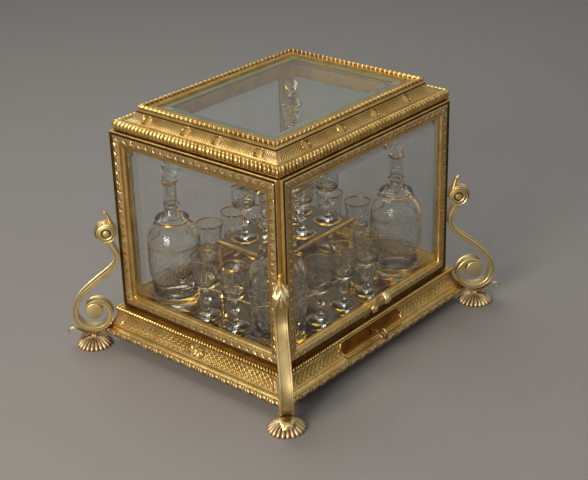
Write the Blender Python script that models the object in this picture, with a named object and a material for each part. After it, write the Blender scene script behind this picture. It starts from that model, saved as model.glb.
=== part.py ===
"""Liqueur cabinet: a gilt bronze and bevelled glass case on four scroll brackets.

The lid and the front leaf are one unit that swings up on two hinges at the top rear edge.
Metres, +Z up. The origin is on the floor, under the middle of the case; the front faces -Y.
"""
import math

import bmesh
import bpy
from mathutils import Vector

for old_object in list(bpy.data.objects):
    bpy.data.objects.remove(old_object, do_unlink=True)

# Driving sizes of the whole cabinet
CASE_WIDTH = 0.300
CASE_DEPTH = 0.236
BASE_UNDERSIDE = 0.012
BASE_TOP = 0.046
CASE_HEIGHT = 0.2121
LID_HEIGHT = 0.0266
FRONT_PROUD = 0.004
SEAT = 0.0003
OVERRUN = 0.004
WELD = 0.00001
SMOOTH_ANGLE = 0.7

CASE_FLOOR = BASE_TOP + SEAT
CASE_TOP = CASE_FLOOR + CASE_HEIGHT
LID_FLOOR = CASE_TOP + SEAT
LEFT_AND_RIGHT = (-1, 1)
CORNERS = {"front_left": (-1, -1), "front_right": (1, -1), "rear_left": (-1, 1), "rear_right": (1, 1)}


def finish(name, colour, roughness, metallic=0.0, transmission=0.0):
    """One Principled material."""
    material = bpy.data.materials.new(name)
    material.use_nodes = True
    shader = material.node_tree.nodes["Principled BSDF"]
    shader.inputs["Base Color"].default_value = (*colour, 1)
    shader.inputs["Roughness"].default_value = roughness
    shader.inputs["Metallic"].default_value = metallic
    shader.inputs["Transmission Weight"].default_value = transmission
    return material


GILT = finish("gilt_bronze", (0.62, 0.42, 0.14), 0.32, 1)
POLISHED = finish("burnished_gilt", (0.72, 0.50, 0.18), 0.18, 1)
PLATE_GLASS = finish("bevelled_glass", (0.82, 0.88, 0.85), 0.03, 0, 0.9)
CRYSTAL = finish("cut_crystal", (0.9, 0.92, 0.92), 0.05, 0, 0.9)
MIRROR = finish("silvered_mirror", (0.75, 0.77, 0.76), 0.04, 1)
STEEL = finish("lock_steel", (0.46, 0.45, 0.42), 0.3, 1)
TIMBER = finish("ebonised_board", (0.05, 0.035, 0.025), 0.5)


def pivot(name, place):
    """An empty on a joint's axis, for the pieces that move with it."""
    empty = bpy.data.objects.new(name, None)
    empty.location = place
    bpy.context.scene.collection.objects.link(empty)
    return empty


def piece(name, shape, material, axis=None, smooth=True):
    """Turn a bmesh into a named object, closed and facing out, under its pivot if it moves."""
    bmesh.ops.remove_doubles(shape, verts=shape.verts, dist=WELD)
    bmesh.ops.recalc_face_normals(shape, faces=shape.faces)
    if axis is not None:
        bmesh.ops.translate(shape, verts=shape.verts, vec=-axis.location)
    mesh = bpy.data.meshes.new(name)
    shape.to_mesh(mesh)
    shape.free()
    if smooth:
        mesh.shade_smooth()
        mesh.set_sharp_from_angle(angle=SMOOTH_ANGLE)
    mesh.materials.append(material)
    part = bpy.data.objects.new(name, mesh)
    part.parent = axis
    bpy.context.scene.collection.objects.link(part)
    return part


def combine(part, operation, tools):
    """Cut tools from a part, or fuse them with it, by Boolean modifiers."""
    for tool in tools:
        tool.hide_render = True
        tool.display_type = "WIRE"
        change = part.modifiers.new(tool.name, "BOOLEAN")
        change.operation = operation
        change.object = tool
    return part


def block(low, high):
    """A box between two corners."""
    shape = bmesh.new()
    bmesh.ops.create_cube(shape, size=1)
    low = Vector(low)
    high = Vector(high)
    for vertex in shape.verts:
        share = vertex.co + Vector((0.5, 0.5, 0.5))
        vertex.co = low + Vector(share[i] * (high[i] - low[i]) for i in range(3))
    return shape


def loft(rings, closed_path=False):
    """Skin equal rings of points, with end caps unless the path closes on itself."""
    shape = bmesh.new()
    rows = [[shape.verts.new(point) for point in ring] for ring in rings]
    count = len(rows[0])
    last = len(rows) if closed_path else len(rows) - 1
    for i in range(last):
        here = rows[i]
        there = rows[(i + 1) % len(rows)]
        for j in range(count):
            k = (j + 1) % count
            shape.faces.new((here[j], here[k], there[k], there[j]))
    if not closed_path:
        shape.faces.new(rows[0])
        shape.faces.new(list(reversed(rows[-1])))
    return shape


def extruded(outline, start, end, place):
    """Extrude an outline from start to end; place maps (across, up, along) to the world."""
    return loft([[place(u, v, along) for u, v in outline] for along in (start, end)])


def mitred(half_x, half_y, profile, centre_y=0.0):
    """Run a profile of (outward, height) round a rectangle, with mitred corners."""
    rings = []
    for side_x, side_y in ((-1, -1), (1, -1), (1, 1), (-1, 1)):
        rings.append([
            (side_x * (half_x + out), centre_y + side_y * (half_y + out), z) for out, z in profile])
    return loft(rings, closed_path=True)


def turned(profile, steps, centre=(0, 0, 0)):
    """Turn a profile of (radius, height) about a vertical axis; ends at zero radius close."""
    shape = bmesh.new()
    cx, cy, cz = centre
    rows = []
    for radius, height in profile:
        if radius == 0:
            rows.append([shape.verts.new((cx, cy, cz + height))])
            continue
        turns = [math.tau * j / steps for j in range(steps)]
        rows.append([
            shape.verts.new((cx + radius * math.cos(t), cy + radius * math.sin(t), cz + height))
            for t in turns])
    for here, there in zip(rows, rows[1:]):
        for j in range(steps):
            k = (j + 1) % steps
            ring = [here[j % len(here)], here[k % len(here)], there[k % len(there)], there[j % len(there)]]
            shape.faces.new(list(dict.fromkeys(ring)))
    for end in (rows[0], rows[-1]):
        if len(end) > 1:
            shape.faces.new(end)
    return shape


def arc(centre, radii, start, end, steps):
    """Points on an elliptical arc, with angles in degrees."""
    points = []
    for i in range(steps + 1):
        t = math.radians(start + (end - start) * i / steps)
        points.append((centre[0] + radii[0] * math.cos(t), centre[1] + radii[1] * math.sin(t)))
    return points


def bezier(p0, p1, p2, p3, steps):
    """Points on a cubic curve, without the last one."""
    points = []
    for i in range(steps):
        t = i / steps
        weights = ((1 - t) ** 3, 3 * t * (1 - t) ** 2, 3 * t * t * (1 - t), t ** 3)
        points.append(tuple(sum(w * p[a] for w, p in zip(weights, (p0, p1, p2, p3))) for a in (0, 1)))
    return points


# Base: a mitred gilt moulding, from its beaded top down a cavetto to a leafy torus
HALF_WIDTH = CASE_WIDTH / 2
HALF_DEPTH = CASE_DEPTH / 2
BASE_BEAD_OUT = 0.0048
BASE_BEAD_RADIUS = 0.0016
BASE_CAVETTO_TOP_OUT = 0.0054
BASE_CAVETTO_FOOT_OUT = 0.0152
BASE_CAVETTO_DROP = 0.0157
BASE_NECK = 0.0032
BASE_FILLET = 0.001
BASE_TORUS_RADIUS = 0.0042
BASE_TORUS_OUT = 0.0145
BASE_LEDGE_IN = 0.014
BASE_WALL_IN = 0.0086
BASE_LEDGE_TOP = 0.037
BASE_LEDGE_THICKNESS = 0.0033
BASE_RIM_IN = 0.002
CAVETTO_TOP = BASE_TOP - BASE_NECK - 1.6 * BASE_FILLET
CAVETTO_FOOT = CAVETTO_TOP - BASE_CAVETTO_DROP
BASE_TORUS_Z = BASE_UNDERSIDE + 1.2 * BASE_TORUS_RADIUS

base_profile = [(-BASE_WALL_IN, BASE_TOP), (BASE_BEAD_OUT - BASE_BEAD_RADIUS, BASE_TOP)]
base_profile += arc((BASE_BEAD_OUT, BASE_TOP - BASE_BEAD_RADIUS), (BASE_BEAD_RADIUS,) * 2, 90, -80, 4)
base_profile += [(BASE_CAVETTO_TOP_OUT - BASE_FILLET, BASE_TOP - BASE_NECK - BASE_FILLET / 2)]
base_profile += [(BASE_CAVETTO_TOP_OUT - BASE_FILLET, CAVETTO_TOP)]
base_profile += arc((BASE_CAVETTO_FOOT_OUT, CAVETTO_TOP),
                    (BASE_CAVETTO_FOOT_OUT - BASE_CAVETTO_TOP_OUT, BASE_CAVETTO_DROP), 180, 270, 6)
base_profile += [(BASE_CAVETTO_FOOT_OUT + BASE_FILLET, CAVETTO_FOOT),
                 (BASE_CAVETTO_FOOT_OUT + BASE_FILLET, CAVETTO_FOOT - BASE_FILLET),
                 (BASE_CAVETTO_FOOT_OUT - BASE_FILLET, CAVETTO_FOOT - 2.5 * BASE_FILLET)]
base_profile += arc((BASE_TORUS_OUT, BASE_TORUS_Z), (BASE_TORUS_RADIUS,) * 2, 78, -78, 6)
base_profile += [(BASE_TORUS_OUT - BASE_FILLET, BASE_UNDERSIDE), (-BASE_RIM_IN, BASE_UNDERSIDE),
                 (-BASE_WALL_IN, BASE_LEDGE_TOP - 2 * BASE_LEDGE_THICKNESS),
                 (-BASE_LEDGE_IN, BASE_LEDGE_TOP - BASE_LEDGE_THICKNESS),
                 (-BASE_LEDGE_IN, BASE_LEDGE_TOP), (-BASE_WALL_IN, BASE_LEDGE_TOP)]
base_moulding = piece("base_moulding", mitred(HALF_WIDTH, HALF_DEPTH, base_profile), GILT)

# Inside floor: a board on the moulding's ledge, and the mirror that lines the case
FRAME_THICKNESS = 0.0092
BOARD_BOTTOM = BASE_LEDGE_TOP + SEAT
BOARD_THICKNESS = 0.0061
MIRROR_THICKNESS = 0.004
BOARD_TOP = BOARD_BOTTOM + BOARD_THICKNESS
MIRROR_BOTTOM = BOARD_TOP + SEAT
MIRROR_TOP = MIRROR_BOTTOM + MIRROR_THICKNESS
BOARD_HALF_X = HALF_WIDTH - BASE_WALL_IN - SEAT
BOARD_HALF_Y = HALF_DEPTH - BASE_WALL_IN - SEAT
MIRROR_HALF_X = HALF_WIDTH - FRAME_THICKNESS - 2 * SEAT
MIRROR_HALF_Y = HALF_DEPTH - FRAME_THICKNESS - 2 * SEAT
bottom_board = piece("bottom_board", block((-BOARD_HALF_X, -BOARD_HALF_Y, BOARD_BOTTOM),
                                           (BOARD_HALF_X, BOARD_HALF_Y, BOARD_TOP)), TIMBER, smooth=False)
piece("mirror_floor", block((-MIRROR_HALF_X, -MIRROR_HALF_Y, MIRROR_BOTTOM),
                            (MIRROR_HALF_X, MIRROR_HALF_Y, MIRROR_TOP)), MIRROR, smooth=False)

# Scroll bracket: an S-shaped strap on the corner's diagonal, from a low volute to a rolled head
STRAP_WIDTH = 0.014
STRAP_THICKNESS = 0.005
STRAP_FILLET = 0.0022
STRAP_GROOVE = 0.0009
VOLUTE_OUT = 0.033
VOLUTE_Z = 0.042
VOLUTE_RADIUS = 0.022
EYE_OUT = 0.0335
EYE_Z = 0.0453
EYE_RADIUS = 0.0082
EYE_WIDTH = 0.0165
VOLUTE_TURNS = 0.9
VOLUTE_SHRINK_SHARES = (0.216, 0.35)
WAIST_Z = 0.111
SWEEP_OUT = 0.0282
SWEEP_Z = 0.0807
HEAD_OUT = 0.0118
HEAD_Z = 0.1402
HEAD_RADIUS = 0.0112
HEAD_WIDTH = STRAP_WIDTH + 2 * SEAT
HEAD_BOSS_RADIUS = 0.005
HEAD_BOSS_WIDTH = 0.0195
BUD_HEIGHT = 0.0145
BUD_RADIUS = 0.0032
BUD_SHARES = ((1.0, 0.0), (1.0, 0.12), (0.55, 0.34), (0.62, 0.5), (1.0, 0.7), (0.8, 0.9), (0.0, 1.0))
WAIST_OUT = SEAT + STRAP_THICKNESS / 2
ROUND_STEPS = 12


def volute_radius(turn):
    """Radius of the low volute's spiral after a number of turns from its outermost point."""
    steady, late = VOLUTE_SHRINK_SHARES
    share = turn / VOLUTE_TURNS
    return VOLUTE_RADIUS * (1 - steady * share - late * share ** 3)


def strap_path():
    """The strap's middle line in the bracket's plane: (distance out from the corner, height)."""
    path = []
    steps = 19
    for i in range(steps, 0, -1):
        turn = VOLUTE_TURNS * i / steps
        angle = -math.tau * turn
        radius = volute_radius(turn)
        path.append((VOLUTE_OUT + radius * math.cos(angle), VOLUTE_Z + radius * math.sin(angle)))
    rise = (SWEEP_Z - VOLUTE_Z) / 2.3
    lean = Vector((-0.78, 0.63)) * rise
    start = (VOLUTE_OUT + VOLUTE_RADIUS, VOLUTE_Z)
    middle = (SWEEP_OUT, SWEEP_Z)
    waist = (WAIST_OUT, WAIST_Z)
    entry = (HEAD_OUT, HEAD_Z - HEAD_RADIUS / 2)
    bend = (WAIST_Z - SWEEP_Z) / 2.3
    path += bezier(start, (start[0], start[1] + rise),
                   (middle[0] - lean[0], middle[1] - lean[1]), middle, 5)
    path += bezier(middle, (middle[0] + lean[0], middle[1] + lean[1]),
                   (waist[0], waist[1] - bend), waist, 5)
    path += bezier(waist, (waist[0], waist[1] + bend / 2), (entry[0] - HEAD_RADIUS / 3, entry[1] - bend),
                   entry, 3)
    path.append(entry)
    return path


def strap_section():
    """Half-rounded fillets along both edges of the strap's outer face: (across, thickness)."""
    half = STRAP_WIDTH / 2
    top = STRAP_THICKNESS / 2
    inner = half - STRAP_FILLET
    return [(-half, -top), (half, -top), (half, top), (inner, top), (inner, top - STRAP_GROOVE),
            (-inner, top - STRAP_GROOVE), (-inner, top), (-half, top)]


def on_corner(side_x, side_y):
    """Map (out, across, height) at a case corner's diagonal to the world."""
    outward = Vector((side_x, side_y, 0)).normalized()
    sideways = Vector((-outward.y, outward.x, 0))
    corner = Vector((side_x * HALF_WIDTH, side_y * HALF_DEPTH, 0))

    def place(out, across, z):
        return corner + outward * out + sideways * across + Vector((0, 0, z))
    return place


def disc(place, out, z, radius, width, steps):
    """A short round bar across the strap."""
    outline = arc((out, z), (radius, radius), 0, 360, steps)[:-1]
    return loft([[place(u, across, v) for u, v in outline] for across in (-width / 2, width / 2)])


def scroll_bracket(corner_name, side_x, side_y):
    place = on_corner(side_x, side_y)
    path = strap_path()
    rings = []
    for i, (out, z) in enumerate(path):
        before = path[max(i - 1, 0)]
        after = path[min(i + 1, len(path) - 1)]
        along = Vector((after[0] - before[0], after[1] - before[1])).normalized()
        normal = Vector((along.y, -along.x))
        rings.append([place(out + normal.x * thick, across, z + normal.y * thick)
                      for across, thick in strap_section()])
    bracket = piece("scroll_bracket_" + corner_name, loft(rings), POLISHED)
    bud_profile = [(0, 0)] + [(r * BUD_RADIUS, h * BUD_HEIGHT) for r, h in BUD_SHARES]
    bud_foot = place(HEAD_OUT - HEAD_RADIUS / 4, 0, HEAD_Z + HEAD_RADIUS - BUD_RADIUS / 2)
    tools = [
        piece("eye_of_" + corner_name,
              disc(place, EYE_OUT, EYE_Z, EYE_RADIUS, EYE_WIDTH, ROUND_STEPS), POLISHED),
        piece("head_of_" + corner_name,
              disc(place, HEAD_OUT, HEAD_Z, HEAD_RADIUS, HEAD_WIDTH, ROUND_STEPS), POLISHED),
        piece("boss_of_" + corner_name,
              disc(place, HEAD_OUT, HEAD_Z, HEAD_BOSS_RADIUS, HEAD_BOSS_WIDTH, ROUND_STEPS), POLISHED),
        piece("bud_of_" + corner_name, turned(bud_profile, 6, bud_foot), POLISHED)]
    return combine(bracket, "UNION", tools)


# Foot: a fluted shell on the floor, with a turned neck up to the volute
FOOT_OUT = 0.0365
FOOT_RADIUS = 0.0205
FOOT_RIM_HEIGHT = 0.0022
FOOT_DOME_HEIGHT = 0.0095
FOOT_RIBS = 13
FOOT_FLUTE_SHARE = 0.09
NECK_RADIUS = 0.0042
NECK_SHARES = ((1.25, 0.0), (0.68, 0.3), (0.9, 0.6), (2.05, 0.86), (2.05, 1.0))
FOOT_SHARES = ((0.94, 0.0, 1.0), (1.0, 0.25, 1.0), (0.86, 0.62, 1.0), (0.6, 0.88, 0.7), (0.3, 1.0, 0.2))
NECK_TOP = min(z for out, z in strap_path()) - STRAP_THICKNESS / 2 - SEAT


def shell_foot(corner_name, side_x, side_y):
    place = on_corner(side_x, side_y)
    steps = 2 * FOOT_RIBS
    rings = []
    for radius_share, height_share, flute_share in FOOT_SHARES:
        ring = []
        for j in range(steps):
            angle = math.tau * j / steps
            depth = FOOT_FLUTE_SHARE * flute_share * (j % 2)
            radius = FOOT_RADIUS * radius_share * (1 - depth)
            ring.append(place(FOOT_OUT + radius * math.cos(angle), radius * math.sin(angle),
                              FOOT_DOME_HEIGHT * height_share))
        rings.append(ring)
    foot = piece("shell_foot_" + corner_name, loft(rings), GILT)
    neck_foot = FOOT_DOME_HEIGHT - FOOT_RIM_HEIGHT
    neck_profile = [(0, neck_foot)]
    neck_profile += [(r * NECK_RADIUS, neck_foot + h * (NECK_TOP - neck_foot)) for r, h in NECK_SHARES]
    neck_profile += [(0, NECK_TOP)]
    neck = piece("neck_of_" + corner_name, turned(neck_profile, 10, place(FOOT_OUT, 0, 0)), GILT)
    return combine(foot, "UNION", [neck])


def corner_notch(corner_name, side_x, side_y):
    """The seat that each base corner has for its volute: the strap's outer sweep, with clearance."""
    place = on_corner(side_x, side_y)
    reach = STRAP_THICKNESS / 2 + SEAT
    outline = []
    for i in range(25):
        turn = 0.75 * i / 24
        angle = -math.tau * turn
        radius = volute_radius(turn) + reach
        outline.append((VOLUTE_OUT + radius * math.cos(angle), VOLUTE_Z + radius * math.sin(angle)))
    width = STRAP_WIDTH / 2 + SEAT
    return piece("notch_" + corner_name,
                 loft([[place(u, across, v) for u, v in outline] for across in (-width, width)]), GILT)


notches = []
for corner, (sx, sy) in CORNERS.items():
    scroll_bracket(corner, sx, sy)
    shell_foot(corner, sx, sy)
    notches.append(corner_notch(corner, sx, sy))

# Glazed frames: one moulded section, mitred round each window, with a groove for the pane
FRAME_WIDTH = 0.018
FRAME_RELIEF = 0.004
FRAME_LIP = 0.0006
PANE_THICKNESS = 0.003
PANE_GRIP = 0.003
FRAME_INNER_LIP = 0.0015
FRAME_FACE_SHARES = ((0.0, 0.0), (0.07, 0.0), (0.1, 0.35), (0.21, 0.55), (0.32, 0.35), (0.36, 0.1),
                     (0.52, 0.0), (0.68, 0.1), (0.72, 0.3), (0.98, 1.0))
GROOVE_FRONT = FRAME_RELIEF + FRAME_LIP
GROOVE_BACK = GROOVE_FRONT + PANE_THICKNESS + 2 * SEAT


def frame_profile():
    """The section as (inset from the outer edge, depth from the face)."""
    profile = [(w * FRAME_WIDTH, d * FRAME_RELIEF) for w, d in FRAME_FACE_SHARES]
    profile += [(FRAME_WIDTH, GROOVE_FRONT), (FRAME_WIDTH - PANE_GRIP, GROOVE_FRONT),
                (FRAME_WIDTH - PANE_GRIP, GROOVE_BACK), (FRAME_WIDTH - FRAME_INNER_LIP, GROOVE_BACK),
                (FRAME_WIDTH - FRAME_INNER_LIP, FRAME_THICKNESS), (0, FRAME_THICKNESS)]
    return profile


def glazed_frame(name, low, high, place, axis=None):
    """A mitred frame between two corners of its own plane; place maps (u, v, depth)."""
    rings = []
    for side_u, side_v in ((0, 0), (1, 0), (1, 1), (0, 1)):
        ring = []
        for inset, depth in frame_profile():
            u = low[0] + inset if side_u == 0 else high[0] - inset
            v = low[1] + inset if side_v == 0 else high[1] - inset
            ring.append(place(u, v, depth))
        rings.append(ring)
    return piece(name, loft(rings, closed_path=True), GILT, axis)


def pane(name, low, high, place, axis=None):
    """The bevelled plate that sits in a frame's groove."""
    inset = FRAME_WIDTH - PANE_GRIP + SEAT
    front = GROOVE_FRONT + SEAT
    corner_a = place(low[0] + inset, low[1] + inset, front)
    corner_b = place(high[0] - inset, high[1] - inset, front + PANE_THICKNESS)
    nearest = [min(a, b) for a, b in zip(corner_a, corner_b)]
    farthest = [max(a, b) for a, b in zip(corner_a, corner_b)]
    return piece(name, block(nearest, farthest), PLATE_GLASS, axis, smooth=False)


side_low = (-HALF_DEPTH, CASE_FLOOR)
side_high = (HALF_DEPTH, CASE_TOP)
for side, side_name in zip(LEFT_AND_RIGHT, ("left", "right")):
    def on_side(u, v, depth, side=side):
        return side * (HALF_WIDTH - depth), u, v
    glazed_frame(side_name + "_frame", side_low, side_high, on_side)
    pane(side_name + "_pane", side_low, side_high, on_side)

REAR_HALF = HALF_WIDTH - FRAME_THICKNESS - SEAT
rear_low = (-REAR_HALF, CASE_FLOOR)
rear_high = (REAR_HALF, CASE_TOP)


def on_rear(u, v, depth):
    return u, HALF_DEPTH - depth, v


rear_frame = glazed_frame("rear_frame", rear_low, rear_high, on_rear)
pane("rear_pane", rear_low, rear_high, on_rear)

# Hinges: two butt hinges in the seam at the top rear edge
KNUCKLE_RADIUS = 0.0026
PIN_RADIUS = 0.0012
PIN_CLEARANCE = 0.0003
LEAF_THICKNESS = 0.001
LEAF_WIDTH = 0.026
LEAF_REACH = 0.010
KNUCKLE_LENGTH = 0.0086
HINGE_X_SHARE = 0.6
HINGE_Y = HALF_DEPTH + SEAT + KNUCKLE_RADIUS
HINGE_Z = (CASE_TOP + LID_FLOOR) / 2
LEAF_FRONT = HINGE_Y - KNUCKLE_RADIUS - LEAF_REACH
LEAF_BACK = HINGE_Y - KNUCKLE_RADIUS - 2 * SEAT
lid_axis = pivot("lid_hinge_axis", (0, HINGE_Y, HINGE_Z))


def across_bar(x, radius, low, high, steps=ROUND_STEPS):
    """A round bar along X on the hinge axis."""
    outline = arc((HINGE_Y, HINGE_Z), (radius, radius), 0, 360, steps)[:-1]
    return loft([[(x + along, u, v) for u, v in outline] for along in (low, high)])


def hinge(side_name, x):
    half = LEAF_WIDTH / 2
    step = KNUCKLE_LENGTH
    middle = (-step / 2 + SEAT, step / 2 - SEAT)
    outer = ((-half, -step / 2), (step / 2, half))
    case_top = CASE_TOP - SEAT
    lid_bottom = LID_FLOOR + SEAT
    bore_reach = half + OVERRUN
    bore_radius = PIN_RADIUS + PIN_CLEARANCE
    case_leaf = piece(side_name + "_hinge_case_leaf", block(
        (x - half, LEAF_FRONT, case_top - LEAF_THICKNESS), (x + half, LEAF_BACK, case_top)), GILT)
    tools = []
    for i, (low, high) in enumerate(outer):
        knuckle = across_bar(x, KNUCKLE_RADIUS, low, high)
        tools.append(piece("%s_case_knuckle_%d" % (side_name, i), knuckle, GILT))
        tools.append(piece("%s_case_web_%d" % (side_name, i), block(
            (x + low, LEAF_BACK - LEAF_THICKNESS, case_top - LEAF_THICKNESS),
            (x + high, HINGE_Y, case_top)), GILT))
    combine(case_leaf, "UNION", tools)
    bore = piece(side_name + "_bore", across_bar(x, bore_radius, -bore_reach, bore_reach), GILT)
    combine(case_leaf, "DIFFERENCE", [bore])
    lid_leaf = piece(side_name + "_hinge_lid_leaf", block(
        (x - half, LEAF_FRONT, lid_bottom), (x + half, LEAF_BACK, lid_bottom + LEAF_THICKNESS)),
        GILT, lid_axis)
    tools = [
        piece(side_name + "_lid_knuckle", across_bar(x, KNUCKLE_RADIUS, *middle), GILT),
        piece(side_name + "_lid_web", block(
            (x + middle[0], LEAF_BACK - LEAF_THICKNESS, lid_bottom),
            (x + middle[1], HINGE_Y, lid_bottom + LEAF_THICKNESS)), GILT)]
    combine(lid_leaf, "UNION", tools)
    combine(lid_leaf, "DIFFERENCE", [bore])
    piece(side_name + "_hinge_pin", across_bar(x, PIN_RADIUS, -half, half), STEEL)


def leaf_seats(x, side_name):
    """Recesses for the two leaves, in the rear rail's top and in the lid's underside."""
    half = LEAF_WIDTH / 2 + SEAT
    front = LEAF_FRONT - SEAT
    back = HALF_DEPTH + OVERRUN
    rail_floor = CASE_TOP - LEAF_THICKNESS - 2 * SEAT
    lid_ceiling = LID_FLOOR + LEAF_THICKNESS + 2 * SEAT
    in_rail = piece(side_name + "_rail_seat", block(
        (x - half, front, rail_floor), (x + half, back, CASE_TOP + OVERRUN)), GILT)
    in_lid = piece(side_name + "_lid_seat", block(
        (x - half, front, LID_FLOOR - OVERRUN), (x + half, back, lid_ceiling)), GILT)
    return in_rail, in_lid


lid_seats = []
for side, side_name in zip(LEFT_AND_RIGHT, ("left", "right")):
    hinge_x = side * HALF_WIDTH * HINGE_X_SHARE
    hinge(side_name, hinge_x)
    rail_seat, lid_seat = leaf_seats(hinge_x, side_name)
    combine(rear_frame, "DIFFERENCE", [rail_seat])
    lid_seats.append(lid_seat)

# Lid: torus, cavetto and beaded top frame in one mitred section, with a groove for its pane
LID_TORUS_RADIUS = 0.0043
LID_TORUS_IN = 0.0069
LID_TORUS_RISE = 0.0054
LID_FOOT_IN = 0.0034
LID_LEDGE_IN = 0.0135
LID_LEDGE_RISE = 0.0104
LID_CAVETTO_IN = 0.0225
LID_CAVETTO_RISE = 0.0208
LID_NECK_IN = 0.0238
LID_BEAD_RADIUS = 0.0024
LID_BEAD_IN = 0.0252
LID_OPENING_IN = 0.037
LID_FLAT_DROP = 0.0024
LID_WALL_IN = 0.0105
LID_WALL_RISE = 0.0052
LID_GROOVE_DROP = 0.0015
LID_GROOVE_GRIP = 0.003
LID_SOFFIT_IN = 0.0315
LID_DEPTH_SHIFT = FRONT_PROUD / 2
LID_HALF_DEPTH = HALF_DEPTH + LID_DEPTH_SHIFT
LID_FLAT_Z = LID_FLOOR + LID_HEIGHT - LID_FLAT_DROP
LID_GROOVE_TOP = LID_FLAT_Z - LID_GROOVE_DROP
LID_GROOVE_BOTTOM = LID_GROOVE_TOP - PANE_THICKNESS - 2 * SEAT
LID_SOFFIT_Z = LID_GROOVE_BOTTOM - LID_GROOVE_DROP

lid_profile = [(-LID_FOOT_IN, LID_FLOOR), (-LID_FOOT_IN, LID_FLOOR + BASE_FILLET)]
lid_profile += arc((-LID_TORUS_IN, LID_FLOOR + LID_TORUS_RISE), (LID_TORUS_RADIUS,) * 2, -55, 85, 6)
lid_profile += [(-LID_TORUS_IN - BASE_FILLET, LID_FLOOR + LID_LEDGE_RISE)]
lid_profile += arc((-LID_LEDGE_IN, LID_FLOOR + LID_CAVETTO_RISE),
                   (LID_CAVETTO_IN - LID_LEDGE_IN, LID_CAVETTO_RISE - LID_LEDGE_RISE), 270, 180, 6)
lid_profile += [(-LID_NECK_IN, LID_FLOOR + LID_CAVETTO_RISE),
                (-LID_NECK_IN, LID_FLAT_Z - LID_BEAD_RADIUS / 2)]
lid_profile += arc((-LID_BEAD_IN, LID_FLAT_Z), (LID_BEAD_RADIUS,) * 2, -10, 180, 6)
lid_profile += [(-LID_OPENING_IN, LID_FLAT_Z), (-LID_OPENING_IN, LID_GROOVE_TOP),
                (-LID_OPENING_IN + LID_GROOVE_GRIP, LID_GROOVE_TOP),
                (-LID_OPENING_IN + LID_GROOVE_GRIP, LID_GROOVE_BOTTOM),
                (-LID_OPENING_IN + BASE_FILLET, LID_GROOVE_BOTTOM),
                (-LID_OPENING_IN + BASE_FILLET, LID_SOFFIT_Z),
                (-LID_SOFFIT_IN, LID_SOFFIT_Z), (-LID_WALL_IN - LID_WALL_RISE, LID_FLOOR + LID_WALL_RISE),
                (-LID_WALL_IN, LID_FLOOR + LID_WALL_RISE / 2), (-LID_WALL_IN, LID_FLOOR)]
lid_moulding = mitred(HALF_WIDTH, LID_HALF_DEPTH, lid_profile, -LID_DEPTH_SHIFT)
lid_frame = piece("lid_frame", lid_moulding, GILT, lid_axis)
combine(lid_frame, "DIFFERENCE", lid_seats)
lid_pane_in = LID_OPENING_IN - LID_GROOVE_GRIP + SEAT
lid_pane_x = HALF_WIDTH - lid_pane_in
lid_pane_y = LID_HALF_DEPTH - lid_pane_in
lid_pane_z = LID_GROOVE_BOTTOM + SEAT
piece("lid_pane", block((-lid_pane_x, -LID_DEPTH_SHIFT - lid_pane_y, lid_pane_z),
                        (lid_pane_x, -LID_DEPTH_SHIFT + lid_pane_y, lid_pane_z + PANE_THICKNESS)),
      PLATE_GLASS, lid_axis, smooth=False)

# Front leaf: hangs from the lid and laps over the ends of the side frames
LEAF_SIDE_IN = 0.0053
LEAF_BOTTOM_GAP = 0.002
FRONT_FACE = -HALF_DEPTH - FRONT_PROUD
LAP_INSET = FRAME_THICKNESS - LEAF_SIDE_IN + 2 * SEAT
LAP_DEPTH = FRONT_PROUD - SEAT
leaf_low = (-HALF_WIDTH + LEAF_SIDE_IN, BASE_TOP + LEAF_BOTTOM_GAP)
leaf_high = (HALF_WIDTH - LEAF_SIDE_IN, CASE_TOP)


def on_front(u, v, depth):
    return u, FRONT_FACE + depth, v


front_frame = glazed_frame("front_frame", leaf_low, leaf_high, on_front, lid_axis)
for side in LEFT_AND_RIGHT:
    lap_sides = sorted((side * (leaf_high[0] - LAP_INSET), side * (leaf_high[0] + OVERRUN)))
    rebate = piece("rebate_%d" % side, block(
        (lap_sides[0], FRONT_FACE + LAP_DEPTH, leaf_low[1] - OVERRUN),
        (lap_sides[1], FRONT_FACE + FRAME_THICKNESS + OVERRUN, leaf_high[1] + OVERRUN)), GILT)
    combine(front_frame, "DIFFERENCE", [rebate])
pane("front_pane", leaf_low, leaf_high, on_front, lid_axis)

# Thumb lift: a scroll lug on the bottom rail, with a tongue that arches out and curls down
LIFT_X = 0.002
LIFT_WIDTH = 0.0085
LIFT_THICKNESS = 0.0024
LIFT_LUG_RADIUS = 0.0052
LIFT_LUG_RISE = 0.0085
LIFT_LUG_THICKNESS = 0.0034
LIFT_REACH = 0.0212
LIFT_RISE = 0.0225
LIFT_CURL = 0.0105
lift_foot_z = leaf_low[1] + LIFT_LUG_RISE
lift_back = FRONT_FACE - SEAT
lift_start = (lift_back - LIFT_LUG_THICKNESS / 2, lift_foot_z)
lift_top = (lift_back - LIFT_REACH * 0.62, lift_foot_z + LIFT_RISE)
lift_end = (lift_back - LIFT_REACH * 0.93, lift_foot_z + LIFT_RISE - LIFT_CURL)
lift_path = bezier(lift_start, (lift_start[0] - LIFT_REACH * 0.1, lift_start[1] + LIFT_RISE * 0.7),
                   (lift_top[0] + LIFT_REACH * 0.3, lift_top[1]), lift_top, 7)
lift_path += bezier(lift_top, (lift_top[0] - LIFT_REACH * 0.36, lift_top[1]),
                    (lift_end[0] - LIFT_REACH * 0.1, lift_end[1] + LIFT_CURL * 0.4), lift_end, 5)
lift_path.append(lift_end)
lift_rings = []
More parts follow.
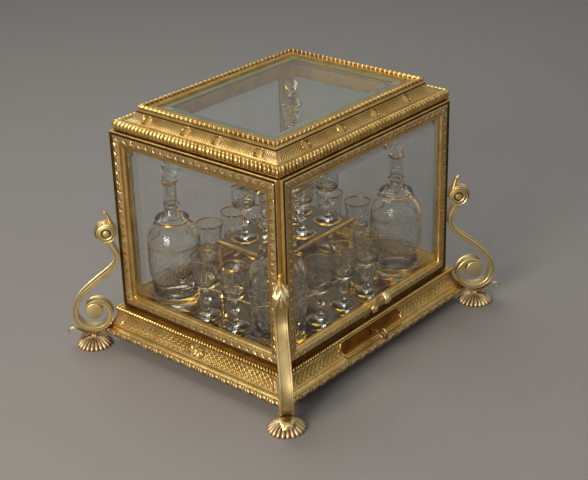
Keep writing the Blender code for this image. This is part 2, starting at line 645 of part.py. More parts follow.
for i, (y, z) in enumerate(lift_path):
    before = lift_path[max(i - 1, 0)]
    after = lift_path[min(i + 1, len(lift_path) - 1)]
    along = Vector((after[0] - before[0], after[1] - before[1])).normalized()
    normal = Vector((along.y, -along.x)) * LIFT_THICKNESS / 2
    half = LIFT_WIDTH / 2
    lift_rings.append([
        (LIFT_X - half, y - normal.x, z - normal.y), (LIFT_X + half, y - normal.x, z - normal.y),
        (LIFT_X + half, y + normal.x, z + normal.y), (LIFT_X - half, y + normal.x, z + normal.y)])
thumb_lift = piece("thumb_lift", loft(lift_rings), POLISHED, lid_axis)
lug_outline = arc((LIFT_X, lift_foot_z), (LIFT_LUG_RADIUS, LIFT_LUG_RADIUS), 0, 360, ROUND_STEPS)[:-1]
lug = piece("thumb_lug", loft([[(u, y, v) for u, v in lug_outline]
                               for y in (lift_back - LIFT_LUG_THICKNESS, lift_back)]), POLISHED)
combine(thumb_lift, "UNION", [lug])

# Lock: case, bolt, key and plate behind a bracket-ended cartouche in the base's front
LOCK_X = -0.008
KEY_Z = 0.0355
CARTOUCHE_HALF = 0.057
CARTOUCHE_TOP = 0.0405
CARTOUCHE_BOTTOM = 0.0265
CARTOUCHE_FLOOR_OUT = 0.0056
PLATE_THICKNESS = 0.001
LOCK_CASE_HALF = 0.0145
LOCK_CASE_BACK_IN = 0.008
LOCK_CASE_FRONT_OUT = 0.0033
LOCK_CASE_BOTTOM = 0.0234
LOCK_CASE_TOP = 0.0426
LOCK_WALL = 0.0012
BOLT_HALF = 0.005
BOLT_FRONT_OUT = 0.0019
BOLT_THICKNESS = 0.003
BOLT_TRAVEL = 0.006
BOLT_CLEARANCE = 0.0003
SHANK_RADIUS = 0.0016
BOLT_LIFT_GAP = 0.0006
BIT_RADIUS = 0.0062
BIT_THICKNESS = 0.0018
KEYHOLE_RADIUS = 0.0023
KEYHOLE_SLOT = 0.0026
KEY_REACH = 0.0145
BOW_RADIUS = 0.0054
BOW_WIRE = 0.0013

plate_back = -HALF_DEPTH - CARTOUCHE_FLOOR_OUT
CARTOUCHE_END_SHARES = ((0.86, 1.0), (0.9, 0.9), (0.93, 0.62), (1.0, 0.5), (0.93, 0.34),
                        (0.92, 0.12), (0.86, 0.0))


def cartouche_outline(margin):
    """A long panel whose two ends are shaped like a brace."""
    height = CARTOUCHE_TOP - CARTOUCHE_BOTTOM - 2 * margin
    right = [(LOCK_X + (CARTOUCHE_HALF - margin) * a, CARTOUCHE_BOTTOM + margin + height * b)
             for a, b in CARTOUCHE_END_SHARES]
    left = [(2 * LOCK_X - u, v) for u, v in reversed(right)]
    return right + left


def keyhole_outline(margin):
    """A round hole with a slot for the bit below it."""
    radius = KEYHOLE_RADIUS + margin
    slot = KEYHOLE_SLOT / 2 + margin
    turn = math.degrees(math.asin(slot / radius))
    foot = KEY_Z - BIT_RADIUS - margin - 2 * SEAT
    outline = arc((LOCK_X, KEY_Z), (radius, radius), -90 + turn, 270 - turn, ROUND_STEPS)
    return outline + [(LOCK_X - slot, foot), (LOCK_X + slot, foot)]


def towards_front(u, v, y):
    return u, y, v


def bolt_slot(name, bottom, top, clearance):
    half = BOLT_HALF + clearance
    front = -HALF_DEPTH - BOLT_FRONT_OUT - clearance
    back = front + BOLT_THICKNESS + 2 * clearance
    return piece(name, block((LOCK_X - half, front, bottom), (LOCK_X + half, back, top)), GILT)


cartouche_cut = piece("cartouche_cut", extruded(
    cartouche_outline(0), plate_back, -HALF_DEPTH - BASE_TORUS_OUT - 2 * OVERRUN, towards_front), GILT)
lock_pocket = piece("lock_pocket", block(
    (LOCK_X - LOCK_CASE_HALF - SEAT, -HALF_DEPTH - LOCK_CASE_FRONT_OUT - SEAT, LOCK_CASE_BOTTOM - SEAT),
    (LOCK_X + LOCK_CASE_HALF + SEAT, -HALF_DEPTH + BASE_LEDGE_IN + OVERRUN, LOCK_CASE_TOP + SEAT)), GILT)
keyhole_cut = piece("keyhole_cut", extruded(
    keyhole_outline(0), -HALF_DEPTH + OVERRUN, plate_back - OVERRUN, towards_front), GILT)
base_bolt_slot = bolt_slot("base_bolt_slot", LOCK_CASE_TOP - SEAT, BASE_TOP + OVERRUN, BOLT_CLEARANCE)
combine(base_moulding, "DIFFERENCE", notches + [cartouche_cut, lock_pocket, base_bolt_slot, keyhole_cut])
relief_half = LOCK_CASE_HALF + 2 * SEAT
relief_back = -HALF_DEPTH + LOCK_CASE_BACK_IN + 3 * SEAT
board_relief = piece("board_relief", block(
    (LOCK_X - relief_half, -BOARD_HALF_Y - OVERRUN, BOARD_BOTTOM - OVERRUN),
    (LOCK_X + relief_half, relief_back, BOARD_TOP + OVERRUN)), GILT)
combine(bottom_board, "DIFFERENCE", [board_relief])

plate_back_face = plate_back - SEAT
lock_plate = piece("lock_plate", extruded(
    cartouche_outline(2 * SEAT), plate_back_face, plate_back_face - PLATE_THICKNESS, towards_front), POLISHED)
combine(lock_plate, "DIFFERENCE", [keyhole_cut])

lock_case = piece("lock_case", block(
    (LOCK_X - LOCK_CASE_HALF, -HALF_DEPTH - LOCK_CASE_FRONT_OUT, LOCK_CASE_BOTTOM),
    (LOCK_X + LOCK_CASE_HALF, -HALF_DEPTH + LOCK_CASE_BACK_IN, LOCK_CASE_TOP)), STEEL, smooth=False)
case_hollow = piece("lock_hollow", block(
    (LOCK_X - LOCK_CASE_HALF + LOCK_WALL, -HALF_DEPTH - LOCK_CASE_FRONT_OUT + LOCK_WALL,
     LOCK_CASE_BOTTOM + LOCK_WALL),
    (LOCK_X + LOCK_CASE_HALF - LOCK_WALL, -HALF_DEPTH + LOCK_CASE_BACK_IN + OVERRUN,
     LOCK_CASE_TOP - LOCK_WALL)), STEEL)
combine(lock_case, "DIFFERENCE", [
    case_hollow, keyhole_cut,
    bolt_slot("case_bolt_slot", LOCK_CASE_TOP - 2 * LOCK_WALL, LOCK_CASE_TOP + OVERRUN, BOLT_CLEARANCE)])

bolt_bottom = KEY_Z + SHANK_RADIUS + BOLT_LIFT_GAP
bolt_top = BASE_TOP - SEAT
bolt_centre = (LOCK_X, -HALF_DEPTH - BOLT_FRONT_OUT + BOLT_THICKNESS / 2, bolt_bottom)
bolt_axis = pivot("bolt_slide_axis", bolt_centre)
bolt_front = -HALF_DEPTH - BOLT_FRONT_OUT
piece("lock_bolt", block((LOCK_X - BOLT_HALF, bolt_front, bolt_bottom),
                         (LOCK_X + BOLT_HALF, bolt_front + BOLT_THICKNESS, bolt_top)),
      STEEL, bolt_axis, smooth=False)
mortise_top = bolt_top + BOLT_TRAVEL + 2 * SEAT
mortise = bolt_slot("rail_mortise", leaf_low[1] - OVERRUN, mortise_top, 1.5 * BOLT_CLEARANCE)
combine(front_frame, "DIFFERENCE", [mortise])

key_axis = pivot("key_turn_axis", (LOCK_X, plate_back, KEY_Z))
shank_front = plate_back - KEY_REACH
shank_back = bolt_front + BOLT_THICKNESS
shank_outline = arc((LOCK_X, KEY_Z), (SHANK_RADIUS, SHANK_RADIUS), 0, 360, 12)[:-1]
key = piece("key", extruded(shank_outline, shank_front, shank_back, towards_front), STEEL, key_axis)
bit_front = bolt_front + SEAT
bow_centre_y = shank_front - BOW_RADIUS + BOW_WIRE / 2
bow_rings = []
for i in range(14):
    around = math.tau * i / 14
    ring = []
    for j in range(6):
        cross = math.tau * j / 6
        radius = BOW_RADIUS + BOW_WIRE * math.cos(cross)
        ring.append((LOCK_X + BOW_WIRE * math.sin(cross), bow_centre_y + radius * math.cos(around),
                     KEY_Z + radius * math.sin(around)))
    bow_rings.append(ring)
combine(key, "UNION", [
    piece("key_bit", block((LOCK_X - BIT_THICKNESS / 2, bit_front, KEY_Z - BIT_RADIUS),
                           (LOCK_X + BIT_THICKNESS / 2, shank_back - SEAT, KEY_Z)), STEEL),
    piece("key_bow", loft(bow_rings, closed_path=True), STEEL)])

# Glass service: four decanters with stoppers in the corners, and sixteen stemmed glasses
GLASS_STEPS = 10
DECANTER_STEPS = 14
DECANTER_SIZE_SHARE = 0.1119
DECANTER_RADIUS = DECANTER_SIZE_SHARE * (HALF_WIDTH + HALF_DEPTH)
DECANTER_END_GAP = 0.016
DECANTER_FACE_GAP_SHARE = 0.1017
DECANTER_X = HALF_WIDTH - DECANTER_END_GAP - DECANTER_RADIUS
DECANTER_Y = HALF_DEPTH * (1 - DECANTER_FACE_GAP_SHARE) - DECANTER_RADIUS
DECANTER_NECK_RADIUS = 0.0076
DECANTER_BORE_RADIUS = 0.005
DECANTER_WALL = 0.003
DECANTER_BODY_SHARES = ((0.68, 0.0), (0.72, 0.022), (0.83, 0.12), (0.97, 0.23), (1.0, 0.34), (1.0, 0.52),
                        (0.93, 0.62), (0.6, 0.68), (0.66, 0.705), (0.4, 0.735), (0.28, 0.785))
DECANTER_NECK_SHARES = ((1.0, 0.8), (1.28, 0.82), (1.0, 0.84), (1.0, 0.98), (1.25, 1.0))
BORE_FOOT_SHARE = 0.735
DECANTER_INSIDE_SHARES = ((0.88, 0.61), (1.0, 0.5), (0.98, 0.3), (0.66, 0.075), (0.0, 0.06))
STOPPER_HEIGHT = 0.0585
STOPPER_HEADROOM = 0.0046
STOPPER_RADIUS = 0.0125
STOPPER_PLUG = 0.016
STOPPER_SHARES = ((0.68, 0.0), (0.62, 0.1), (0.84, 0.34), (1.0, 0.46), (0.92, 0.5), (0.4, 0.56),
                  (0.26, 0.64), (0.4, 0.7), (0.26, 0.74), (0.6, 0.82), (0.64, 0.9), (0.4, 0.97), (0.0, 1.0))
TABLE = MIRROR_TOP + SEAT
DECANTER_HEIGHT = CASE_TOP - STOPPER_HEADROOM - STOPPER_HEIGHT - SEAT - TABLE


def decanter_profile():
    """Outside from the foot up, over the lip, then down the bore to the inside's floor."""
    profile = [(0, 0)]
    profile += [(r * DECANTER_RADIUS, h * DECANTER_HEIGHT) for r, h in DECANTER_BODY_SHARES]
    profile += [(r * DECANTER_NECK_RADIUS, h * DECANTER_HEIGHT) for r, h in DECANTER_NECK_SHARES]
    inner = DECANTER_RADIUS - DECANTER_WALL
    profile += [(DECANTER_BORE_RADIUS, DECANTER_HEIGHT),
                (DECANTER_BORE_RADIUS, DECANTER_HEIGHT * BORE_FOOT_SHARE)]
    profile += [(r * inner, h * DECANTER_HEIGHT) for r, h in DECANTER_INSIDE_SHARES]
    return profile


def stopper_profile():
    """The ground plug below the collar, then the flared body and its ball."""
    plug = DECANTER_BORE_RADIUS - SEAT
    profile = [(0, -STOPPER_PLUG), (plug * 0.94, -STOPPER_PLUG), (plug, 0)]
    profile += [(r * STOPPER_RADIUS, SEAT + h * STOPPER_HEIGHT) for r, h in STOPPER_SHARES]
    return profile


for corner, (sx, sy) in CORNERS.items():
    spot = Vector((sx * DECANTER_X, sy * DECANTER_Y, TABLE))
    piece("decanter_" + corner, turned(decanter_profile(), DECANTER_STEPS, spot), CRYSTAL)
    lip = spot + Vector((0, 0, DECANTER_HEIGHT))
    stopper_axis = pivot("stopper_axis_" + corner, lip)
    piece("stopper_" + corner, turned(stopper_profile(), DECANTER_STEPS, lip), CRYSTAL, stopper_axis)

GLASS_HEIGHT = 0.0735
GLASS_SIZE_SHARE = 0.5069
GLASS_RADIUS = DECANTER_RADIUS * GLASS_SIZE_SHARE
GLASS_WALL = 0.0012
GLASS_OUTSIDE_SHARES = ((0.96, 0.0), (0.22, 0.06), (0.17, 0.2), (0.34, 0.27), (0.17, 0.34),
                        (0.26, 0.45), (0.74, 0.54), (0.84, 0.74), (1.0, 1.0))
GLASS_INSIDE_SHARES = ((1.0, 1.0), (0.82, 0.72), (0.66, 0.56), (0.0, 0.51))


def glass_profile():
    """Foot, knopped stem and bell bowl, then down the inside of the bowl."""
    profile = [(0, 0)] + [(r * GLASS_RADIUS, h * GLASS_HEIGHT) for r, h in GLASS_OUTSIDE_SHARES]
    inner = GLASS_RADIUS - GLASS_WALL
    return profile + [(r * inner, h * GLASS_HEIGHT) for r, h in GLASS_INSIDE_SHARES]


# Rack: a tray on four legs in the middle, and a low wire gallery round the lower glasses
TRAY_WIDTH_SHARE = 0.4667
TRAY_DEPTH_SHARE = 0.3644
TRAY_HALF_X = HALF_WIDTH * TRAY_WIDTH_SHARE
TRAY_HALF_Y = HALF_DEPTH * TRAY_DEPTH_SHARE
TRAY_Z = 0.120
TRAY_FRAME_WIDTH = 0.006
TRAY_FRAME_HEIGHT = 0.005
TRAY_PLATE = 0.003
TRAY_SEAT_DEPTH = 0.0033
LEG_RADIUS = 0.0022
LEG_SHARES = ((1.9, 0.0), (2.0, 0.03), (1.0, 0.07), (1.0, 0.5), (1.6, 0.53), (1.0, 0.56), (1.0, 1.0))
LONG_SPACING_SHARE = 0.28
SHORT_SPACING_SHARE = 0.913
SHORT_SHIFT_SHARE = 0.087
UPPER_SPACING_SHARE = 0.657
UPPER_RANK_SHARE = 0.4884
LONG_ROW_IN = 0.038
SHORT_ROW_IN = 0.0415
GALLERY_WIRE = 0.0012
GALLERY_Z = 0.0765
GALLERY_IN = 0.0085
GALLERY_GAP = 0.0014
ROD_SHARES = ((2.3, 0.0), (2.6, 0.05), (2.0, 0.12), (0.85, 0.17), (0.85, 1.0))

tray_seat_z = TRAY_Z - TRAY_SEAT_DEPTH
tray_profile = [(0, TRAY_Z - TRAY_FRAME_HEIGHT), (0, TRAY_Z), (-TRAY_FRAME_WIDTH / 2, TRAY_Z),
                (-TRAY_FRAME_WIDTH / 2, tray_seat_z), (-TRAY_FRAME_WIDTH, tray_seat_z),
                (-TRAY_FRAME_WIDTH, TRAY_Z - TRAY_FRAME_HEIGHT)]
tray_frame = piece("tray_frame", mitred(TRAY_HALF_X, TRAY_HALF_Y, tray_profile), GILT)
leg_height = tray_seat_z - SEAT - TABLE
leg_profile = [(0, 0)] + [(r * LEG_RADIUS, h * leg_height) for r, h in LEG_SHARES] + [(0, leg_height)]
leg_inset = TRAY_FRAME_WIDTH / 2
for corner, (sx, sy) in CORNERS.items():
    leg_spot = (sx * (TRAY_HALF_X - leg_inset), sy * (TRAY_HALF_Y - leg_inset), TABLE)
    combine(tray_frame, "UNION", [piece("leg_" + corner, turned(leg_profile, 6, leg_spot), GILT)])
plate_x = TRAY_HALF_X - TRAY_FRAME_WIDTH / 2 - SEAT
plate_y = TRAY_HALF_Y - TRAY_FRAME_WIDTH / 2 - SEAT
plate_z = tray_seat_z + SEAT
piece("tray_plate", block((-plate_x, -plate_y, plate_z), (plate_x, plate_y, plate_z + TRAY_PLATE)),
      MIRROR, smooth=False)

long_row_y = HALF_DEPTH - LONG_ROW_IN
short_row_x = HALF_WIDTH - SHORT_ROW_IN
long_spacing = HALF_WIDTH * LONG_SPACING_SHARE
between_decanters = DECANTER_Y - DECANTER_RADIUS
short_spacing = between_decanters * SHORT_SPACING_SHARE
short_shift = between_decanters * SHORT_SHIFT_SHARE
upper_spacing = TRAY_HALF_X * UPPER_SPACING_SHARE
upper_rank_y = TRAY_HALF_Y * UPPER_RANK_SHARE
lower_spots = [(i * long_spacing, side * long_row_y) for i in (-1, 0, 1) for side in LEFT_AND_RIGHT]
for i in LEFT_AND_RIGHT:
    for side in LEFT_AND_RIGHT:
        lower_spots.append((side * short_row_x, short_shift + i * short_spacing / 2))
upper_spots = [(i * upper_spacing, side * upper_rank_y) for i in (-1, 0, 1) for side in LEFT_AND_RIGHT]
upper_table = plate_z + TRAY_PLATE + SEAT
glass_places = [(x, y, TABLE) for x, y in lower_spots] + [(x, y, upper_table) for x, y in upper_spots]
for number, spot in enumerate(glass_places, 1):
    piece("glass_%02d" % number, turned(glass_profile(), GLASS_STEPS, spot), CRYSTAL)

# The gallery's rail runs inside the stems and bends round each decanter, on rods with bead feet
gallery_x = short_row_x - GALLERY_IN
gallery_y = long_row_y - GALLERY_IN
gallery_bend = DECANTER_RADIUS + GALLERY_WIRE + GALLERY_GAP
bend_start = 180 + math.degrees(math.asin((DECANTER_Y - gallery_y) / gallery_bend))
bend_end = 270 - math.degrees(math.asin((DECANTER_X - gallery_x) / gallery_bend))
rail_points = []
for sx, sy in ((1, 1), (-1, 1), (-1, -1), (1, -1)):
    bend = arc((DECANTER_X, DECANTER_Y), (gallery_bend, gallery_bend), bend_end, bend_start, 6)
    corner_points = [(sx * x, sy * y) for x, y in bend]
    rail_points += corner_points if sx * sy > 0 else list(reversed(corner_points))
rail_rings = []
for i, (x, y) in enumerate(rail_points):
    before = rail_points[i - 1]
    after = rail_points[(i + 1) % len(rail_points)]
    along = Vector((after[0] - before[0], after[1] - before[1])).normalized()
    ring = []
    for j in range(6):
        turn = math.tau * j / 6
        out = GALLERY_WIRE * math.cos(turn)
        ring.append((x + along.y * out, y - along.x * out, GALLERY_Z + GALLERY_WIRE * math.sin(turn)))
    rail_rings.append(ring)
gallery = piece("wire_gallery", loft(rail_rings, closed_path=True), GILT)
rod_height = GALLERY_Z - TABLE
rod_profile = [(0, 0)] + [(r * GALLERY_WIRE, h * rod_height) for r, h in ROD_SHARES] + [(0, rod_height)]
rod_turn = math.radians(bend_start)
rod_x = DECANTER_X + gallery_bend * math.cos(rod_turn)
rod_spots = [(sx * rod_x, sy * gallery_y) for sx, sy in CORNERS.values()]
rod_spots += [(side * gallery_x, short_shift) for side in LEFT_AND_RIGHT]
for number, (x, y) in enumerate(rod_spots):
    combine(gallery, "UNION", [
        piece("rod_%d" % number, turned(rod_profile, 6, (x, y, TABLE)), GILT)])
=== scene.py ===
"""Looks of a liqueur cabinet: chased gilt bronze, bevelled plate glass and a blown glass service.

Sections follow the cabinet as it is put together, from the base casting up to the glasses inside.
Sizes are in mm, up to the studio, which is in metres.
"""

import math

import bmesh
import bpy
import numpy as np
from mathutils import Matrix, Vector


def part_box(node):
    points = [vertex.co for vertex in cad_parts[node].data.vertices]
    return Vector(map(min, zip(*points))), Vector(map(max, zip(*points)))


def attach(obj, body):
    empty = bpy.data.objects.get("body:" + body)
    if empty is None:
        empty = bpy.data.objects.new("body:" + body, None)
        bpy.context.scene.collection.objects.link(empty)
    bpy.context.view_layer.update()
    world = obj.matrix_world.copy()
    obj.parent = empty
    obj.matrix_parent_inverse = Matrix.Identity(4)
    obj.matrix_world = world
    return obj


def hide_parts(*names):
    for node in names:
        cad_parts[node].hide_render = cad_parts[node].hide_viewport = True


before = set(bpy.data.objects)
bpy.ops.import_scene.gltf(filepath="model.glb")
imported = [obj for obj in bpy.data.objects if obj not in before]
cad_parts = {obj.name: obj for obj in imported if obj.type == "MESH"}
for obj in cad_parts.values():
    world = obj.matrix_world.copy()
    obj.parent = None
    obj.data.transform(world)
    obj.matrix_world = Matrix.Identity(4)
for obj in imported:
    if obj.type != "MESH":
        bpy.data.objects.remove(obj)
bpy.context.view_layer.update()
MM = 0.001


# Base moulding: cast in four lengths, chased, mitred and fire gilt. From the top down it has a row of
# pearls, a burnished band, a matted diaper band, a burnished cove and a leafy torus. It stands on the
# four brackets' volutes, which sit in notches at its corners.
GOLD, OLD_GOLD, PALE_GOLD = "#ebc97e", "#c2954e", "#f8e2a6"
# Rose gold is the matted tint. The dark brown is painted shade in recesses, and also specks of dirt.
ROSE_GOLD, SHADE_AND_DIRT = "#dcc6a2", "#41290f"
MARKS = ("painted_shade", "burnish", "rose")  # painted shade in recesses, then the burnish and rose tint that the chasing leaves, at each point of a casting


def linear(colour):
    """The linear RGBA of an sRGB hex colour."""
    channels = [int(colour[i:i + 2], 16) / 255 for i in (1, 3, 5)]
    return (*(c / 12.92 if c <= 0.04045 else ((c + 0.055) / 1.055) ** 2.4 for c in channels), 1)


def add(tree, kind, settings=None, links=None):
    """Add a shader node with its settings (attributes or sockets) and its links {socket: source}.

    A source is a node, for its first output, or (node, output).
    """
    made = tree.nodes.new("ShaderNode" + kind)
    for key, value in (settings or {}).items():
        if isinstance(key, str) and hasattr(made, key):
            setattr(made, key, value)
        else:
            made.inputs[key].default_value = value
    for key, link in (links or {}).items():
        source, output = link if isinstance(link, tuple) else (link, 0)
        tree.links.new(source.outputs[output], made.inputs[key])
    return made


def new_material(name):
    """A material and its empty node tree."""
    material = bpy.data.materials.new(name)
    material.use_nodes = True
    material.node_tree.nodes.clear()
    return material, material.node_tree


def gilding(name, matte, burnished, grain, bright=GOLD, old=OLD_GOLD):
    """Fire gilding on bronze: a warm metal skin, granular where matted and bright where burnished.

    It has painted shade in its recesses, a dark brown that also darkens specks of dirt in the grain,
    and it is worn in patches of about 17 mm. The matting punch's marks are finer than the 1 mm
    grain that stands for them, which is as fine as shows.
    """
    material, tree = new_material(name)
    place = add(tree, "TexCoord")
    painted_shade, burnish, rose = (
        (add(tree, "Attribute", {"attribute_name": key}), "Fac") for key in MARKS)
    clouds = add(tree, "TexNoise", {"Scale": 60, "Detail": 4}, {"Vector": (place, "Object")})
    specks = add(tree, "TexNoise", {"Scale": 900, "Detail": 4, "Roughness": 0.7},
                 {"Vector": (place, "Object")})
    wear = add(tree, "MapRange", {"From Min": 0.36, "From Max": 0.72, "To Max": 0.7},
               {"Value": (clouds, "Fac")})
    gold = add(tree, "Mix", {"data_type": "RGBA", 6: linear(bright), 7: linear(old)}, {0: wear})
    rosy = add(tree, "Mix", {"data_type": "RGBA", 7: linear(ROSE_GOLD)},
               {0: rose, 6: (gold, 2)})
    dirt = add(tree, "Math", {"operation": "MULTIPLY_ADD", 1: 0.9, 2: -0.3}, {0: (specks, "Fac")})
    # depth: painted shade from the recess marks plus specks of dirt. It darkens the colour to brown
    # and roughens it.
    depth = add(tree, "Math", {"operation": "ADD", "use_clamp": True}, {0: painted_shade, 1: dirt})
    shaded_and_dirty = add(tree, "Mix", {"data_type": "RGBA", 7: linear(SHADE_AND_DIRT)}, {0: depth, 6: (rosy, 2)})
    dull = add(tree, "MapRange", {"To Min": matte, "To Max": burnished}, {"Value": burnish})
    rough = add(tree, "Math", {"operation": "MULTIPLY_ADD", 1: 0.18}, {0: depth, 2: dull})
    bump = add(tree, "Bump", {"Strength": grain, "Distance": 0.12 * MM},
               {"Height": (specks, "Fac")})
    shader = add(tree, "BsdfPrincipled", {"Metallic": 1},
                 {"Base Color": (shaded_and_dirty, 2), "Roughness": rough, "Normal": bump})
    add(tree, "OutputMaterial", None, {"Surface": shader})
    return material


CAST_GILT = gilding("gilt_bronze_chased", 0.42, 0.22, 0.6)
BURNISHED_GILT = gilding("gilt_bronze_burnished", 0.24, 0.18, 0.12)


def finished(name, mesh, materials, angle):
    """Link a mesh as an object with its materials, smooth where its faces meet below an angle."""
    if angle:
        mesh.shade_smooth()
        mesh.set_sharp_from_angle(angle=math.radians(angle))
    for material in materials:
        mesh.materials.append(material)
    made = bpy.data.objects.new(name, mesh)
    bpy.context.scene.collection.objects.link(made)
    return made


def wrapped(name, grid, material, marks=None):
    """A smooth object from a grid of points that closes on itself both ways, with its faces out."""
    columns, lines = grid.shape[:2]
    points = grid.reshape(-1, 3) * MM
    i, j = np.meshgrid(np.arange(columns), np.arange(lines), indexing="ij")
    i2, j2 = (i + 1) % columns, (j + 1) % lines
    faces = np.stack([i * lines + j, i2 * lines + j, i2 * lines + j2, i * lines + j2], axis=2)
    faces = faces.reshape(-1, 4)
    a, b, c, d = (points[faces[:, k]] for k in range(4))
    volume = (a * (np.cross(b, c) + np.cross(c, d))).sum()
    mesh = bpy.data.meshes.new(name)
    mesh.from_pydata(points.tolist(), [], (faces if volume >= 0 else faces[:, ::-1]).tolist())
    for key, values in (marks or {}).items():
        layer = mesh.attributes.new(key, "FLOAT", "POINT")
        layer.data.foreach_set("value", values.astype(np.float32).ravel())
    return finished(name, mesh, [material], 50)


def stands_for(made, body, *nodes):
    """The piece rides on a body and stands in for these CAD nodes, which it hides."""
    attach(made, body)
    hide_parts(*nodes)


def curve(centre, radii, start, end, steps=16):
    """Points on an elliptical arc in a section, with angles in degrees."""
    turns = [math.radians(start + (end - start) * i / steps) for i in range(steps + 1)]
    return [(centre[0] + radii[0] * math.cos(t), centre[1] + radii[1] * math.sin(t)) for t in turns]


def resample(line, step):
    """Points about a step apart on an open line, the section's way out at each, and its reach."""
    line = np.array(line, float)
    legs = np.linalg.norm(np.diff(line, axis=0), axis=1)
    reach = np.concatenate(([0], np.cumsum(legs)))
    count = max(1, round(reach[-1] / step))
    at = np.linspace(0, reach[-1], count + 1)
    points = np.stack([np.interp(at, reach, line[:, k]) for k in (0, 1)], axis=1)
    ends = np.diff(line[[0, -1]], axis=0).repeat(2, axis=0)
    along = np.gradient(points, axis=0) if count > 1 else ends
    along /= np.linalg.norm(along, axis=1)[:, None] + 1e-12
    return points, np.stack([-along[:, 1], along[:, 0]], axis=1), at


def moulding(name, half_u, half_v, bands, place, step, material):
    """Sweep the bands of a section round a rectangle, carved in relief, with true mitres.

    A band is (line of (out, up), row step, carver or a fixed burnish). A carver takes the distance
    s from the side's middle, c from the mitre and w down the band, with the band's depth and the
    side's number and half length, and gives (rise, painted shade, burnish, rose).
    """
    rows = [resample(line, row_step) for line, row_step, _ in bands]
    sides = []
    for side, (half, other) in enumerate([(half_u, half_v), (half_v, half_u)] * 2):
        count = round(2 * half / step)
        share = np.arange(count)[:, None] / count
        strips = []
        for (points, outward, at), (_, _, carver) in zip(rows, bands):
            o, h = points[:, 0][None], points[:, 1][None]
            reach = half + o
            s = (2 * share - 1) * reach
            made = (0, 0, carver, 0)
            if callable(carver):
                made = carver(s, reach - np.abs(s), at[None] + 0 * s, at[-1], side, half)
            rise, painted_shade, burnish, rose = (np.broadcast_to(m, s.shape) for m in made)
            out = o + rise * outward[:, 0]
            up = h + rise * outward[:, 1]
            along = (2 * share - 1) * (half + out)
            across = -(other + out)
            u, v = ((along, across), (-across, along), (-along, -across), (across, -along))[side]
            strips.append(np.stack([u, v, up, painted_shade, burnish, rose], axis=2))
        sides.append(np.concatenate(strips, axis=1))
    u, v, up, *marks = np.concatenate(sides).transpose(2, 0, 1)
    return wrapped(name, np.stack(place(u, v, up), axis=2), material, dict(zip(MARKS, marks)))


def ease(x):
    """0 below 0, 1 above 1 and smooth between."""
    x = np.clip(x, 0, 1)
    return x * x * (3 - 2 * x)


def dome(x, y):
    """A unit dome over a unit circle."""
    return np.sqrt(np.clip(1 - x * x - y * y, 0, 1))


def crest(x, middle, spread):
    """A soft ridge of height 1 at a middle."""
    return np.exp(-((x - middle) / spread) ** 2)


def repeats(s, c, half, pitch):
    """Place in each of a whole number of repeats between the mitres: -1 to 1, 0 at each middle."""
    count = np.round(2 * half / pitch)
    q = (s / (np.abs(s) + c) + 1) / 2 * count
    return (q % 1) * 2 - 1


def pearl_row(pitch, rise):
    """Pearls as wide as the band. The base's are finer in fact, and coarser here to show."""
    def carver(s, c, w, depth, side, half):
        bead = dome(repeats(s, c, half, pitch) / 0.86, 2 * w / depth - 1)
        # Painted shade darkens the gaps round each pearl.
        return bead * rise, 1 - ease(bead * 2.2), 0.8, 0
    return carver


def lattice(s, w, width, height, line):
    """Ridges of a lozenge net and a dot in each lozenge, 0 to 1."""
    a = s / width + w / height
    b = s / width - w / height
    near_a = np.abs((a + 0.5) % 1 - 0.5)
    near_b = np.abs((b + 0.5) % 1 - 0.5)
    ridge = np.maximum(crest(near_a, 0, line), crest(near_b, 0, line))
    return ridge, np.exp(-((0.5 - near_a) ** 2 + (0.5 - near_b) ** 2) / 0.022)


def foliage(x, y, lobes):
    """An oval rosette of lobed leaves in a unit circle, 0 to 1, 0 outside."""
    radius = np.sqrt(x * x + y * y)
    leaf = 0.55 + 0.45 * np.cos(lobes * np.arctan2(y, x) + 2 * np.sin(radius * 6))
    rings = 0.7 + 0.3 * np.cos(radius * 12)
    return ease((1 - radius) * 5) * leaf * rings


def leaf_end(c, w, depth, length):
    """The plain leaf over each mitre: its share (0 or 1) and the ridge along its scalloped edge."""
    edge = length + 1.6 * np.abs(np.sin(2 * math.pi * w / depth)) - c
    return ease(edge / 0.6 + 0.5), crest(edge, 0.3, 0.55)


def base_diaper(s, c, w, depth, side, half):
    """The diaper band, with an oval rosette in the middle of each side and a leaf on each mitre."""
    ridge, dot = lattice(s, w, 7.2, depth / 2, 0.13)
    x, y = s / 12.5, (w - depth / 2) / (depth / 2)
    radius = np.sqrt(x * x + y * y)
    inside = ease((1.25 - radius) * 9)
    ring = crest(radius, 1.12, 0.09) * ease((np.abs(s) - 7) / 4)
    flower = foliage(x, y, 7)
    leaf, rim = leaf_end(c, w, depth, 12.5)
    edge = ease(w / 0.8) * ease((depth - w) / 0.8)
    net = (1 - inside) * (1 - leaf)
    rise = (net * (0.6 * ridge + dot) + inside * 1.3 * flower + 0.6 * ring + leaf * 0.3
            + 0.9 * rim)
    # Painted shade darkens the lozenges between ridges and dots, the rosette's gaps between lobes,
    # and the veins of the mitre leaves.
    painted_shade = net * (1 - np.maximum(ridge, dot)) * 0.5 + inside * (1 - ease(flower * 1.8)) * 0.55
    veins = 0.5 + 0.5 * np.cos(w * 3.1 + c * 0.9)
    burnish = net * np.maximum(0.6 * ridge, dot) + leaf * 0.1 + rim * 0.8
    return rise * edge, painted_shade * edge + leaf * 0.2 * veins, burnish, leaf * 0.5


def painted_shade_seam(s, c, w, depth, side, half):
    """A narrow recess between two members, with painted shade in it."""
    return 0, 0.8, 0.2, 0


